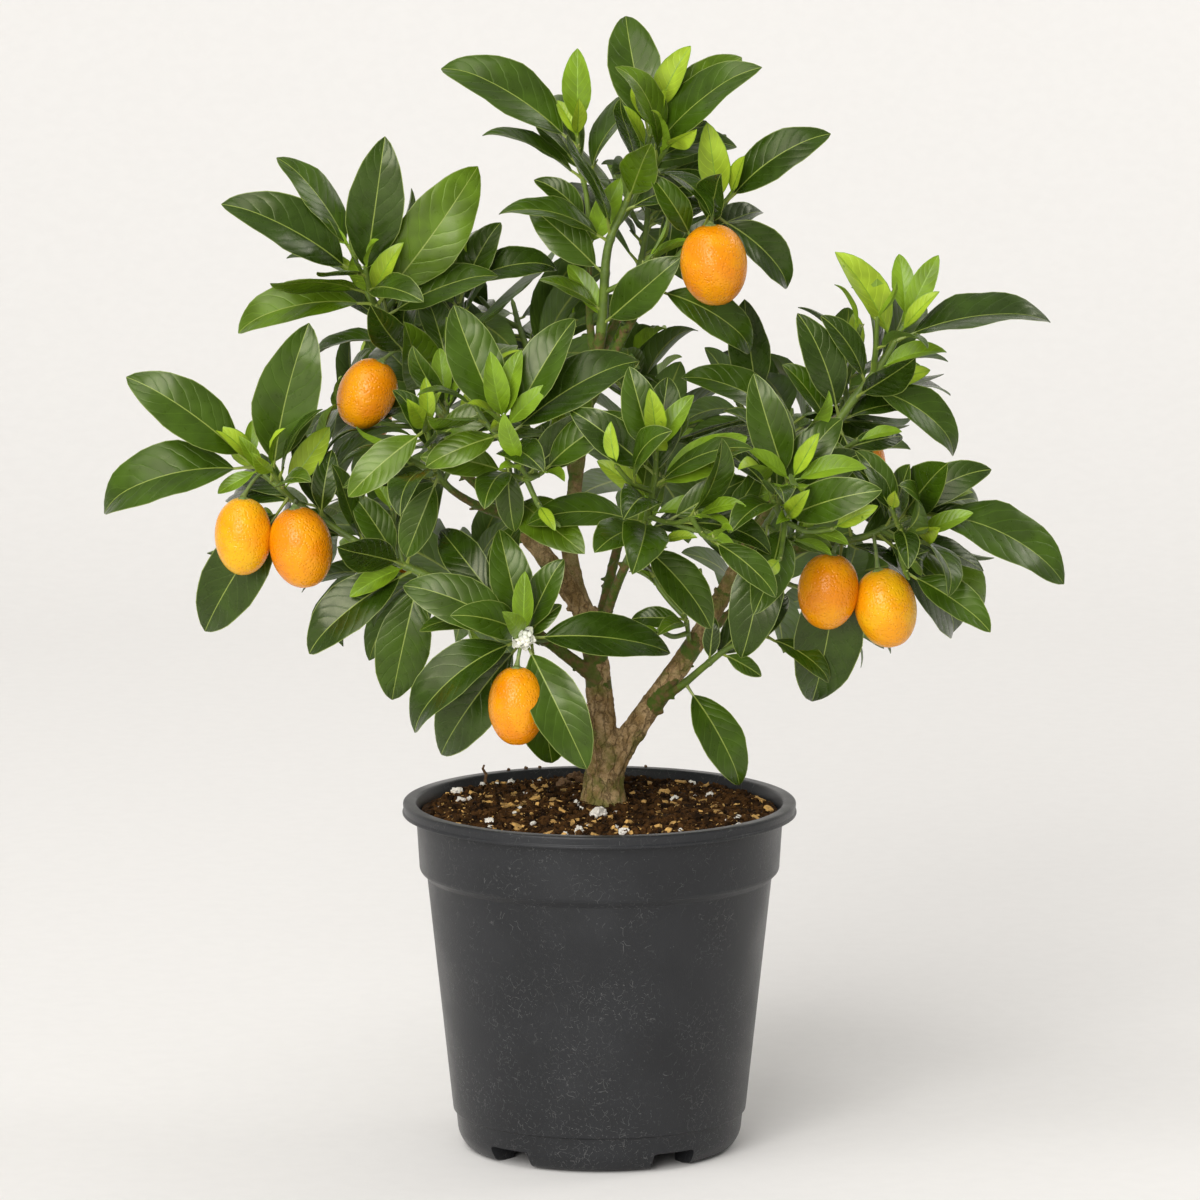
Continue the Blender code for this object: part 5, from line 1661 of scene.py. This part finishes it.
def bark_finish(look):
    """Old bark that turns to green wood by the age attribute, with algae in patches and dark cracks. Its
    paler patches are partly painted highlight, its cracks are darkened partly as painted shade, and the extra
    algae low on the trunk is partly painted shade at its foot.
    """
    bark, pale, green, algae = look.bark, look.pale, look.green, look.algae
    made, t, shader = finish("bark", bark, 0.82, specular_ior_level=0.12)
    where = t.where()
    age = t.node("ShaderNodeAttribute", {"attribute_name": "age"}).outputs["Fac"]
    # The pale colour, taken from lit bark, goes on patches that the relief also raises: partly the bark's
    # weathered tone, partly painted highlight.
    pale_and_lit_patch = t.noised(where, 110.0, 5.0, 0.65)
    base = t.mixed(t.ranged(pale_and_lit_patch, 0.38, 0.66), bark, pale)
    grain = t.noised(where, 900.0, 3.0, 0.7)
    base = t.mixed(t.times(t.ranged(grain, 0.3, 0.52, 1.0, 0.0), 0.6), base, shade(bark, 0.3))
    length = t.node("ShaderNodeMapping", vector=where, scale=(1.0, 1.0, 0.24))
    bent = t.node("ShaderNodeVectorMath", {"operation": "ADD"}, in_0=length.outputs[0])
    push = t.node("ShaderNodeTexNoise", vector=where, scale=190.0, detail=3.0)
    small = t.node("ShaderNodeVectorMath", {"operation": "SCALE"}, in_0=push.outputs[1], scale=0.006)
    t.join(small.outputs[0], bent.inputs[1])
    plates = t.node("ShaderNodeTexVoronoi", {"feature": "DISTANCE_TO_EDGE"}, vector=bent.outputs[0],
                    scale=190.0)
    # The fissures are darkened as well as grooved: partly the inner bark's darker colour, partly painted
    # shade in the grooves.
    fissure = t.times(t.ranged(plates.outputs[0], 0.1, 0.0), t.ranged(age, 0.25, 0.9))
    base = t.mixed(t.times(fissure, 0.45), base, shade(bark, 0.25))
    algae_and_foot_shade = t.noised(where, 48.0, 4.0, 0.7, 0.6)
    # More algae low on the trunk near the compost: partly algae, partly painted shade at the trunk's foot.
    foot = t.ranged(t.node("ShaderNodeSeparateXYZ", vector=where).outputs[2], 0.225, 0.18)
    algae_and_foot_shade = t.plus(algae_and_foot_shade, t.times(foot, 0.09))
    base = t.mixed(t.times(t.ranged(algae_and_foot_shade, 0.5, 0.68), 0.75), base, algae)
    fresh = t.mixed(t.ranged(t.noised(where, 260.0), 0.4, 0.7), green, shade(bark, 0.55))
    base = t.mixed(t.ranged(age, 0.1, 0.75), fresh, base)
    t.join(base, shader.inputs["Base Color"])
    t.join(t.ranged(age, 0.0, 1.0, 0.5, 0.85), shader.inputs["Roughness"])
    rough = t.plus(t.noised(where, 520.0, 5.0, 0.7), t.times(pale_and_lit_patch, 0.8))
    rough = t.minus(rough, t.times(fissure, 0.7))
    t.bumped(shader, rough, 0.0013, 0.9)
    return made


def peel_finish(name, look, colour, deep):
    """Citrus peel: glossy, finely dimpled, deeper in colour in places."""
    made, t, shader = finish(name, colour, 0.25, specular_ior_level=0.32)
    where = t.where()
    cells = t.node("ShaderNodeTexVoronoi", {"feature": "SMOOTH_F1"}, vector=where, scale=700.0,
                   smoothness=0.5)
    pit = t.ranged(cells.outputs[0], 0.0, 0.55)
    patch = t.noised(where, 60.0, 2.0)
    base = t.mixed(t.ranged(patch, 0.35, 0.65), colour, deep)
    base = t.mixed(t.times(t.minus(1.0, pit), 0.25), base, deep)
    t.join(base, shader.inputs["Base Color"])
    height = t.plus(pit, t.times(t.noised(where, 380.0, 2.0), 0.9))
    t.bumped(shader, height, look.dimples)
    return made


def paper_finish(colour):
    """The backdrop's paper. A camera that stands behind the backdrop looks through it."""
    made, t, shader = finish("paper", colour, 0.9)
    where = t.where()
    base = t.mixed(t.ranged(t.noised(where, 90.0), 0.3, 0.7), colour, shade(colour, 0.985))
    t.join(base, shader.inputs["Base Color"])
    camera = t.node("ShaderNodeLightPath").outputs["Is Camera Ray"]
    behind = t.node("ShaderNodeNewGeometry").outputs["Backfacing"]
    clear = t.node("ShaderNodeBsdfTransparent")
    either = t.node("ShaderNodeMixShader")
    t.join(t.times(camera, behind), either.inputs[0])
    t.join(shader.outputs[0], either.inputs[1])
    t.join(clear.outputs[0], either.inputs[2])
    t.join(either.outputs[0], made.node_tree.nodes["Material Output"].inputs[0])
    return made


def scuff_group():
    """Wear on moulded plastic: hair scratches, more of them low down, specks and a soft cloud."""
    group, t, given, result = node_group("scuffs", "ShaderNodeTree", [
        ("Position", "NodeSocketVector", None), ("Amount", "NodeSocketFloat", 1.0)],
        [("Mark", "NodeSocketFloat"), ("Cloud", "NodeSocketFloat")])
    where = given.outputs["Position"]
    height = t.node("ShaderNodeSeparateXYZ", vector=where).outputs[2]
    low = t.ranged(height, 0.12, 0.01)
    marks = None
    for scale, turn, width in ((270.0, 0.0, 0.03), (150.0, 3.0, 0.016)):
        push = t.node("ShaderNodeTexNoise", vector=where, scale=scale * 0.5, detail=2.0)
        small = t.node("ShaderNodeVectorMath", {"operation": "SCALE"}, in_0=push.outputs[1], scale=0.009)
        bent = t.node("ShaderNodeVectorMath", {"operation": "ADD"}, in_0=where, in_1=small.outputs[0])
        hair = t.node("ShaderNodeTexVoronoi", {"feature": "DISTANCE_TO_EDGE"}, vector=bent.outputs[0],
                      scale=scale)
        line = t.ranged(hair.outputs[0], width, width * 0.2)
        broken = t.ranged(t.noised(where, scale * 1.9 + turn, 2.0), 0.5, 0.58)
        worn = t.plus(t.noised(where, 34.0 + turn, 3.0), t.times(low, 0.1))
        scratch = t.times(t.times(line, broken), t.ranged(worn, 0.4, 0.72))
        marks = scratch if marks is None else t.worked("MAXIMUM", marks, scratch)
    grit = t.node("ShaderNodeTexVoronoi", {"feature": "F1"}, vector=where, scale=430.0)
    speck = t.times(t.ranged(grit.outputs[0], 0.17, 0.06),
                   t.ranged(t.plus(t.noised(where, 90.0, 2.0), t.times(low, 0.07)),
                          0.5, 0.66, 0.0, 0.7))
    mark = t.times(t.worked("MAXIMUM", marks, speck), given.outputs["Amount"])
    t.join(mark, result.inputs[0])
    t.join(t.noised(where, 22.0, 4.0, 0.6), result.inputs[1])
    return group


def plastic_finish(look):
    """Dark moulded plastic, matte, a little dusty and scuffed."""
    colour, dust = look.plastic, look.dust
    made, t, shader = finish("pot_plastic", colour, 0.37, specular_ior_level=0.28)
    where = t.where()
    wear = t.node("ShaderNodeGroup", {"node_tree": scuff_group()}, position=where, amount=look.wear)
    base = t.mixed(t.ranged(wear.outputs["Cloud"], 0.35, 0.7), colour, shade(colour, 1.3))
    base = t.mixed(t.times(wear.outputs["Mark"], 0.24), base, dust)
    t.join(base, shader.inputs["Base Color"])
    t.join(t.ranged(wear.outputs["Cloud"], 0.3, 0.7, 0.29, 0.42), shader.inputs["Roughness"])
    fine = t.plus(t.noised(where, 1500.0, 2.0), t.times(wear.outputs["Mark"], 0.8))
    t.bumped(shader, fine, 0.00012, 0.7)
    return made


# Settings

def colour_setting(name, words, value):
    return FloatVectorProperty(name=name, description=words, subtype="COLOR", size=3, min=0, max=1,
                               default=value)


def size_setting(name, words, value, low, high):
    return FloatProperty(name=name, description=words, subtype="DISTANCE", unit="LENGTH", min=low,
                         max=high, default=value, precision=5)


def number_setting(name, words, value):
    return FloatProperty(name=name, description=words, min=0, default=value)


def power_setting(name, words, value):
    return FloatProperty(name=name, description=words, subtype="POWER", unit="POWER", min=0, default=value)


class PotLook(PropertyGroup):
    """The pot's finish, and the gaps between its feet"""
    plastic: colour_setting("Plastic", "Colour of the pot's plastic", (0.0165, 0.0173, 0.0192))
    dust: colour_setting("Dust", "Colour of its scratches and dust", (0.34, 0.34, 0.33))
    wear: number_setting("Wear", "How strong the scuffs are", 1.0)
    gap_width: size_setting("Gap width", "Width of the gaps between its feet", 24 * MM, 0.01, 0.04)
    gap_height: size_setting("Gap height", "Height of those gaps", 9.2 * MM, 0.004, 0.0095)
    steps: IntProperty(name="Steps", description="Faces round the pot", min=40, max=256, default=160)


class CompostLook(PropertyGroup):
    """The compost and what is strewn on it"""
    peat: colour_setting("Peat", "Colour of the peat", (0.011, 0.0050, 0.0016))
    crumb: colour_setting("Crumb", "Colour of its paler crumbs", (0.085, 0.038, 0.010))
    chip: colour_setting("Chips", "Colour of the bark chips", (0.82, 0.48, 0.14))
    perlite: colour_setting("Perlite", "Colour of the perlite grains", (0.93, 0.89, 0.81))
    crumbs: number_setting("Crumbs", "Crumbs on each square metre", 120000)
    chips: number_setting("Chips", "Bark chips on each square metre", 8500)
    grains: number_setting("Perlite", "Grains on each square metre", 2200)


class WoodLook(PropertyGroup):
    """The bark of the limbs, and its relief"""
    bark: colour_setting("Bark", "Colour of the old bark", (0.34, 0.215, 0.088))
    # The paler bark is partly the bark's weathered tone and partly painted highlight on its raised patches.
    pale: colour_setting("Pale bark", "Colour of its paler ridges", (0.60, 0.42, 0.22))
    green: colour_setting("Young bark", "Colour of the young wood", (0.085, 0.135, 0.018))
    # The algae colour also darkens the trunk's foot, partly as painted shade.
    algae: colour_setting("Algae", "Colour of the algae on the bark", (0.14, 0.16, 0.024))
    shoot: colour_setting("Shoot", "Colour of this year's shoots", (0.13, 0.20, 0.018))
    relief: size_setting("Relief", "Depth of the fissures", 1.2 * MM, 0, 0.003)
    cell: size_setting("Cell", "Cell of the remesh that fuses the limbs", 0.75 * MM, 0.0005, 0.003)
    knots: number_setting("Knots", "Knots on each 100 mm of limb", 8.0)


class LeafLook(PropertyGroup):
    """The leaves' colours and veins"""
    dark: colour_setting("Dark leaf", "Colour of most grown leaves", (0.034, 0.070, 0.003))
    deep: colour_setting("Deep leaf", "Colour of the oldest leaves", (0.022, 0.047, 0.0025))
    # Dealt more often to leaves high in the crown, partly as painted light there.
    middle: colour_setting("Middle leaf", "Colour of the newer grown leaves", (0.07, 0.128, 0.0045))
    young: colour_setting("Young leaf", "Colour of the young leaves", (0.15, 0.25, 0.010))
    fresh: colour_setting("Fresh leaf", "Colour of the freshest leaves", (0.27, 0.38, 0.02))
    rib: colour_setting("Midrib", "Colour of the midribs and stalks", (0.25, 0.32, 0.05))
    rim: colour_setting("Rim", "Colour of the thin rims", (0.2, 0.26, 0.05))
    back: colour_setting("Back", "Colour of the undersides", (0.075, 0.135, 0.014))
    veins: size_setting("Vein relief", "How far the flesh stands between the veins", 0.19 * MM, 0, 0.002)


class FruitLook(PropertyGroup):
    """The fruit's peel"""
    peel: colour_setting("Peel", "Colour of the ripe peel", (0.8, 0.31, 0.002))
    deep: colour_setting("Deep peel", "Colour of its riper patches", (0.74, 0.23, 0.001))
    gold: colour_setting("Golden peel", "Colour of the less ripe fruit", (0.8, 0.42, 0.005))
    dimples: size_setting("Dimples", "Depth of the peel's dimples", 0.26 * MM, 0, 0.001)


class StageLook(PropertyGroup):
    """The paper and the lights"""
    paper: colour_setting("Paper", "Colour of the floor and backdrop", (0.84, 0.8275, 0.813))
    key: power_setting("Key light", "Power of the large light", 112)
    front: power_setting("Front light", "Power of the low light at the front", 180)
    rear: power_setting("Rear light", "Power of the light on the backdrop", 21)
    sky: number_setting("Sky", "Strength of the even light from all round", 0.43)


def look(name):
    """The scene's settings of one piece."""
    return getattr(bpy.context.scene, "kumquat_" + name)


# Operators

class KUMQUAT_OT_pot(Operator):
    """Make the pot, with its lip, collar, feet and drain holes"""
    bl_idname = "kumquat.pot"
    bl_label = "Pot"

    def execute(self, context):
        pot = look("pot")
        mesh = build_pot(pot.steps, pot.gap_width, pot.gap_height)
        finish_piece("nursery_pot", mesh, [plastic_finish(pot)], ["pot"], 32)
        return {"FINISHED"}


# Single bits on the compost: what it is, its place in millimetres, and its size
CHOSEN_BITS = (
    ("perlite", 0, -35, 6.5), ("perlite", -71, 17, 4.2), ("perlite", -55, -40, 4.0),
    ("perlite", -10, -70, 4.4), ("perlite", 12, -73, 4.6), ("perlite", -73, 42, 5.0),
    ("perlite", -46, 66, 4.6), ("perlite", 38, 14, 4.2), ("perlite", 56, 30, 3.6),
    ("chip", -39, 1, 5.2), ("chip", -33, 17, 5.5), ("chip", -24, -30, 4.0), ("chip", 38, 56, 4.5),
    ("clump", -13, 72, 8.5), ("clump", -9, 60, 7.0), ("clump", -18, 50, 6.5),
)


def add_bit(bundle, shape, x, y, z, size, slot, dice):
    """One bit lying on the compost, turned at random."""
    points, faces = shape(dice)
    turn = Matrix.Rotation(dice.uniform(0, 6.3), 3, "Z")
    turn = turn @ Matrix.Rotation(dice.uniform(-0.4, 0.4), 3, "X")
    place = Vector((x, y, z))
    bundle.add([place + turn @ (Vector(p) * size) for p in points], faces, slot)


class KUMQUAT_OT_compost(Operator):
    """Make the compost and strew crumbs, bark chips, perlite and fibres over it"""
    bl_idname = "kumquat.compost"
    bl_label = "Compost"

    def execute(self, context):
        compost = look("compost")
        peat = mottled_finish("peat", compost.peat, compost.crumb, 0.95, 420.0, 0.0012, 900.0,
                              specular_ior_level=0.15)
        crumb = mottled_finish("crumbs", compost.peat, compost.crumb, 0.95, 160.0,
                               specular_ior_level=0.15)
        chips = mottled_finish("bark_chips", compost.chip,
                               shade(compost.chip, 0.45), 0.85, 210.0, 0.0004, 1200.0)
        white = mottled_finish("perlite", compost.perlite,
                               shade(compost.perlite, 0.8), 0.9, 300.0, 0.0006, 900.0)
        points, faces = build_soil()
        body = Bundle()
        body.add(points, faces, 0)
        body.piece("compost", [peat], ["soil"], "compost")
        inner = [f for f in faces[:300 * 92] if 11 * MM < math.hypot(*points[f[1]][:2]) < 88 * MM]
        ground = plain_object("ground", points, inner)
        for name, count, shape, cover, density, spacing, smallest, largest, tilt, rise, seed in (
                ("peat_crumbs", 6, lump_shape(0.9, 0.75, 2), crumb, compost.crumbs,
                 0.0012, 0.0009, 0.0042, 1.2, 0.12, 4),
                ("chips", 8, chip_shape, chips, compost.chips, 0.003, 0.0016, 0.0062, 0.45, 0.16, 6),
                ("specks", 5, chip_shape, chips, compost.chips * 2.6, 0.0015, 0.0006, 0.0018, 0.8, 0.5, 16),
                ("perlite_grains", 6, lump_shape(0.8, 0.85, 2), white, compost.grains,
                 0.005, 0.0009, 0.0036, 1.0, 0.22, 8),
                ("fibres", 8, fibre_shape, crumb, 9000, 0.004, 0.004, 0.011, 0.22, 0.1, 10)):
            shapes = shape_set("small_" + name, count, shape, seed - 1)
            mesh = strewn(ground, shapes, cover, density=density, spacing=spacing, smallest=smallest,
                          largest=largest, tilt=tilt, rise=rise, seed=seed)
            mesh.transform(Matrix.Translation(AXIS))
            finish_piece(name, mesh, [], [], 28)
        discard(ground)
        dice = random.Random(12)
        chosen = Bundle()
        kinds = {"perlite": (lump_shape(0.85, 0.85, 3), 0), "chip": (chip_shape, 1),
                 "clump": (lump_shape(1.0, 0.85, 3), 2)}
        for kind, x, y, size in CHOSEN_BITS:
            x, y = x * MM, y * MM
            shape, slot = kinds[kind]
            add_bit(chosen, shape, x, y, soil_height(x, y) + 0.2 * size * MM, size * MM, slot, dice)
        for x, size in ((-47, 2.2), (-38, 2.6), (-31, 2.0), (24, 2.0)):
            y = math.sqrt(97.0**2 - x * x)
            add_bit(chosen, lump_shape(0.5, 0.7, 2), x * MM, y * MM, 178.5 * MM, size * MM, 2, dice)
        foot = Vector((-58 * MM, 64 * MM, soil_height(-0.058, 0.064) - 0.001))
        ends = [foot, foot + Vector((-1, 0, 4)) * MM, foot + Vector((-0.4, 1, 7)) * MM,
                foot + Vector((-2.2, 1, 10)) * MM, foot + Vector((-1.4, 1, 12)) * MM]
        add_tube(chosen, ends, [1.0 * MM, 0.8 * MM, 0.9 * MM, 0.7 * MM, 0.5 * MM], 6, 2)
        clump = mottled_finish("clumps", (0.2, 0.115, 0.055), compost.crumb, 0.9, 260.0, 0.0008, 700.0)
        chosen.piece("single_bits", [white, chips, clump], [], "compost", 30)
        return {"FINISHED"}


class KUMQUAT_OT_wood(Operator):
    """Fuse the trunk and boughs into one limb work with the bark's relief"""
    bl_idname = "kumquat.wood"
    bl_label = "Trunk and boughs"

    def execute(self, context):
        wood = look("wood")
        mesh = build_wood(wood.relief, wood.knots, wood.cell)
        finish_piece("trunk_and_boughs", mesh, [bark_finish(wood)], list(plant()["lines"]), 0)
        return {"FINISHED"}


class KUMQUAT_OT_twigs(Operator):
    """Make the green stems, the side twigs and their buds"""
    bl_idname = "kumquat.twigs"
    bl_label = "Twigs"

    def execute(self, context):
        wood = look("wood")
        grown = plant()
        dice = random.Random(71)
        stems, buds = Bundle(), Bundle()
        roots = [leaf.root for leaf in grown["leaves"]]
        lines = [(line, line.neck - 0.04) for name, line in grown["lines"].items() if name != "trunk"]
        for line, first in lines + [(twig, 0.0) for _, twig in grown["twigs"]]:
            stands = [share for share in (first + (1 - first) * i / 60 for i in range(61))
                      if any((line.at(share) - root).length < 0.5 * MM for root in roots)]
            points, radii = stem_path(line, max(first, 0), 1.0, stands[::2])
            add_tube(stems, points, radii, 8, 0, [0.0] * len(points))
        for leaf in grown["leaves"]:
            way = (leaf.start * 0.5 + leaf.up * 0.9).normalized()
            add_bud(buds, leaf.root + way * 0.7 * MM, way, dice.uniform(1.1, 1.9) * MM, 0)
        shoot = mottled_finish("shoots", wood.shoot, wood.green, 0.5, 120.0, 0.0003, 900.0)
        bud = mottled_finish("buds", (0.28, 0.36, 0.07), (0.2, 0.22, 0.06), 0.5, 200.0)
        stems.piece("twigs", [shoot], [], "green_wood", 60)
        buds.piece("buds", [bud], [], "foliage", 0)
        return {"FINISHED"}


def leaf_finishes(look):
    """The leaves' materials, in the order of their slots."""
    rib, young_rib = look.rib, tuple(min(1, c * 1.5) for c in look.young)
    grown = dict(specular_ior_level=0.34, specular_tint=(1.0, 1.0, 0.65, 1.0), coat_weight=0.16,
                 coat_roughness=0.17)
    soft = dict(specular_ior_level=0.3, coat_weight=0.06, coat_roughness=0.2)
    return [
        leaf_finish("leaf_dark", look.dark, 0.31, look.veins, **grown),
        leaf_finish("leaf_deep", look.deep, 0.28, look.veins, **grown),
        leaf_finish("leaf_middle", look.middle, 0.31, look.veins, **grown),
        leaf_finish("leaf_young", look.young, 0.36, look.veins * 0.6, **soft),
        mottled_finish("leaf_rib", rib, shade(rib, 0.8), 0.42, 300.0),
        mottled_finish("leaf_rim", look.rim, shade(look.rim, 0.8), 0.4, 300.0),
        leaf_finish("leaf_back", look.back, 0.45, look.veins, rib=rib),
        mottled_finish("young_rib", young_rib, look.young, 0.42, 300.0),
        leaf_finish("young_back", look.young, 0.45, look.veins, rib=young_rib),
        leaf_finish("leaf_fresh", look.fresh, 0.38, look.veins * 0.5, **soft),
    ]


class KUMQUAT_OT_leaves(Operator):
    """Make the leaves: grown ones with pillowed blades, and the young ones at the shoots' tips"""
    bl_idname = "kumquat.leaves"
    bl_label = "Leaves"

    def execute(self, context):
        dice = random.Random(83)
        left, right, young = Bundle(), Bundle(), Bundle()
        shares = {name: dice.random() for name in BRANCHES}
        for leaf in plant()["leaves"]:
            if leaf.kind == "young":
                add_leaf(young, leaf, 3 if dice.random() < 0.55 else 9, dice)
                continue
            # The height term makes the lighter middle colour likelier high in the crown: partly newer growth,
            # partly painted light on the crown's top.
            newer = 0.07 + 0.2 * shares[leaf.branch] + 0.4 * max(0.0, leaf.root.z - 0.28)
            slot = 2 if dice.random() < newer else (1 if dice.random() < 0.4 else 0)
            add_leaf(left if leaf.root.x < 0 else right, leaf, slot, dice)
        finishes = leaf_finishes(look("leaves"))
        masses = ["leaves_" + name for name in BRANCHES]
        left.piece("grown_leaves_left", finishes, masses, "foliage", 50)
        right.piece("grown_leaves_right", finishes, masses, "foliage", 50)
        young.piece("young_leaves", finishes, masses, "foliage", 50)
        return {"FINISHED"}


class KUMQUAT_OT_fruit(Operator):
    """Make the fruit, each with its calyx and stalk"""
    bl_idname = "kumquat.fruit"
    bl_label = "Fruit"

    def execute(self, context):
        fruit_look = look("fruit")
        dice = random.Random(29)
        peel, deep, gold = fruit_look.peel, fruit_look.deep, fruit_look.gold
        finishes = [peel_finish("peel", fruit_look, peel, deep),
                    mottled_finish("fruit_scar", (0.3, 0.12, 0.03), (0.5, 0.18, 0.02), 0.7, 500.0),
                    mottled_finish("calyx", (0.13, 0.2, 0.05), (0.2, 0.25, 0.07), 0.5, 300.0),
                    peel_finish("golden_peel", fruit_look, gold, peel)]
        bundle = Bundle()
        for i, fruit in enumerate(plant()["fruits"]):
            before = len(bundle.slots)
            add_fruit(bundle, fruit, dice)
            if i in (0, 6, 8):
                bundle.slots[before:] = [3 if s == 0 else s for s in bundle.slots[before:]]
            add_calyx(bundle, fruit, dice)
        bundle.piece("fruit", finishes, [], "foliage", 60)
        return {"FINISHED"}


class KUMQUAT_OT_blossom(Operator):
    """Make the one white flower bud, half open, above the lowest fruit"""
    bl_idname = "kumquat.blossom"
    bl_label = "Blossom"

    def execute(self, context):
        bundle = Bundle()
        dice = random.Random(47)
        bud_shape = lump_shape(0.25, 1.0, 2)
        line = plant()["lines"][BLOSSOM_BRANCH]
        root = line.at(1.0) + Vector((0, -1.5, 0.5)) * MM
        way = (line.along(0.98) + Vector((0, -0.9, 0.25))).normalized()
        side = way.orthogonal().normalized()
        for ring, (count, spread, length) in enumerate(((6, 1.4, 7.0), (5, 0.7, 6.4))):
            for i in range(count):
                turn = Matrix.Rotation(2 * math.pi * (i + 0.5 * ring) / count, 3, way)
                out = turn @ side
                lean = (way + out * spread).normalized()
                add_petal(bundle, root + out * 0.5 * MM, lean, (out - way * spread).normalized(),
                          length * MM, 5.2 * MM, 0)
        for i in range(12):
            turn = Matrix.Rotation(i * GOLDEN_ANGLE, 3, way)
            spread = math.sqrt((i + 0.5) / 12)
            spot = root + way * (6.0 - 2.6 * spread) * MM + (turn @ side) * 3.9 * spread * MM
            points, faces = bud_shape(dice)
            bundle.add([spot + Vector(p) * 3.0 * MM for p in points], faces, 0)
        add_tube(bundle, [root - way * MM, root + way * MM, root + way * 2 * MM],
                 [1.2 * MM, 1.9 * MM, 1.4 * MM], 10, 1)
        white = mottled_finish("petals", (0.9, 0.9, 0.84), (0.82, 0.84, 0.7), 0.5, 300.0)
        cup = mottled_finish("blossom_cup", (0.25, 0.33, 0.1), (0.2, 0.28, 0.08), 0.5, 300.0)
        bundle.piece("blossom", [white, cup], [], "foliage", 70)
        return {"FINISHED"}


def aimed(made, target):
    """Turns a light or the camera to look at a place."""
    made.rotation_euler = (Vector(target) - made.location).to_track_quat("-Z", "Y").to_euler()


def add_light(name, place, target, size, power):
    """A large square soft light."""
    data = bpy.data.lights.new(name, "AREA")
    data.shape = "SQUARE"
    data.size, data.energy, data.color = size, power, LIGHT_COLOUR
    made = bpy.data.objects.new(name, data)
    bpy.context.scene.collection.objects.link(made)
    made.location = AXIS + Vector(place)
    aimed(made, AXIS + Vector(target))


class KUMQUAT_OT_stage(Operator):
    """Make the pale floor that curves up into a backdrop, the soft lights and the camera"""
    bl_idname = "kumquat.stage"
    bl_label = "Stage"

    def execute(self, context):
        stage = look("stage")
        profile = [(FLOOR_FRONT, 0.0), (FLOOR_BACK, 0.0)]
        curve = BACKDROP - FLOOR_BACK
        profile += [(FLOOR_BACK + curve * math.sin(a), curve - curve * math.cos(a)) for a in
                    (math.pi / 2 * i / 24 for i in range(1, 25))]
        profile.append((BACKDROP, BACKDROP_HEIGHT))
        points = [AXIS + Vector((x, y, z)) for y, z in profile for x in (-STAGE_HALF_WIDTH, STAGE_HALF_WIDTH)]
        faces = [(2 * i, 2 * i + 1, 2 * i + 3, 2 * i + 2) for i in range(len(profile) - 1)]
        sweep = plain_object("floor_and_backdrop", points, faces)
        sweep.data.shade_smooth()
        sweep.data.materials.append(paper_finish(stage.paper))
        add_light("key", (-2.0, -2.4, 4.6), (0, 0, 0.3), 3.6, stage.key)
        add_light("front", (-1.5, -4.3, 1.9), (0, 0, 0.3), 2.6, stage.front)
        add_light("rear", (2.4, 1.0, 2.6), (0.8, 1.7, 0.2), 1.2, stage.rear)
        world = context.scene.world or bpy.data.worlds.new("world")
        context.scene.world = world
        world.use_nodes = True
        sky = world.node_tree.nodes["Background"]
        sky.inputs[0].default_value = (*LIGHT_COLOUR, 1)
        sky.inputs[1].default_value = stage.sky
        data = bpy.data.cameras.new("camera")
        data.lens, data.sensor_width = CAMERA_LENS, 36
        data.clip_end = 30
        data.shift_x = CAMERA_SHIFT
        camera = bpy.data.objects.new("camera", data)
        context.scene.collection.objects.link(camera)
        camera.location = AXIS + Vector((0, -CAMERA_AWAY, CAMERA_HEIGHT))
        aimed(camera, AXIS + Vector((0, 0, CAMERA_AIM)))
        context.scene.camera = camera
        context.scene.view_settings.view_transform = "Standard"
        return {"FINISHED"}


class KUMQUAT_PT_panel(Panel):
    """Lists the pieces and their settings"""
    bl_label = "Kumquat"
    bl_idname = "KUMQUAT_PT_panel"
    bl_space_type = "VIEW_3D"
    bl_region_type = "UI"
    bl_category = "Kumquat"

    def draw(self, context):
        for piece in PIECES:
            self.layout.operator(piece.bl_idname)
        for name, group in LOOKS.items():
            box = self.layout.box()
            box.label(text=name.capitalize())
            for setting in group.__annotations__:
                box.prop(look(name), setting)


LOOKS = {"pot": PotLook, "compost": CompostLook, "wood": WoodLook, "leaves": LeafLook,
         "fruit": FruitLook, "stage": StageLook}
PIECES = (KUMQUAT_OT_stage, KUMQUAT_OT_pot, KUMQUAT_OT_compost, KUMQUAT_OT_wood, KUMQUAT_OT_twigs,
          KUMQUAT_OT_leaves, KUMQUAT_OT_fruit, KUMQUAT_OT_blossom)
CLASSES = (*LOOKS.values(), *PIECES, KUMQUAT_PT_panel)


def register():
    for each in CLASSES:
        bpy.utils.register_class(each)
    for name, group in LOOKS.items():
        setattr(bpy.types.Scene, "kumquat_" + name, PointerProperty(type=group))


def unregister():
    for name in LOOKS:
        delattr(bpy.types.Scene, "kumquat_" + name)
    for each in reversed(CLASSES):
        bpy.utils.unregister_class(each)


def main():
    register()
    bpy.ops.kumquat.stage()
    bpy.ops.kumquat.pot()
    bpy.ops.kumquat.compost()
    bpy.ops.kumquat.wood()
    bpy.ops.kumquat.twigs()
    bpy.ops.kumquat.leaves()
    bpy.ops.kumquat.fruit()
    bpy.ops.kumquat.blossom()


if __name__ == "__main__":
    main()
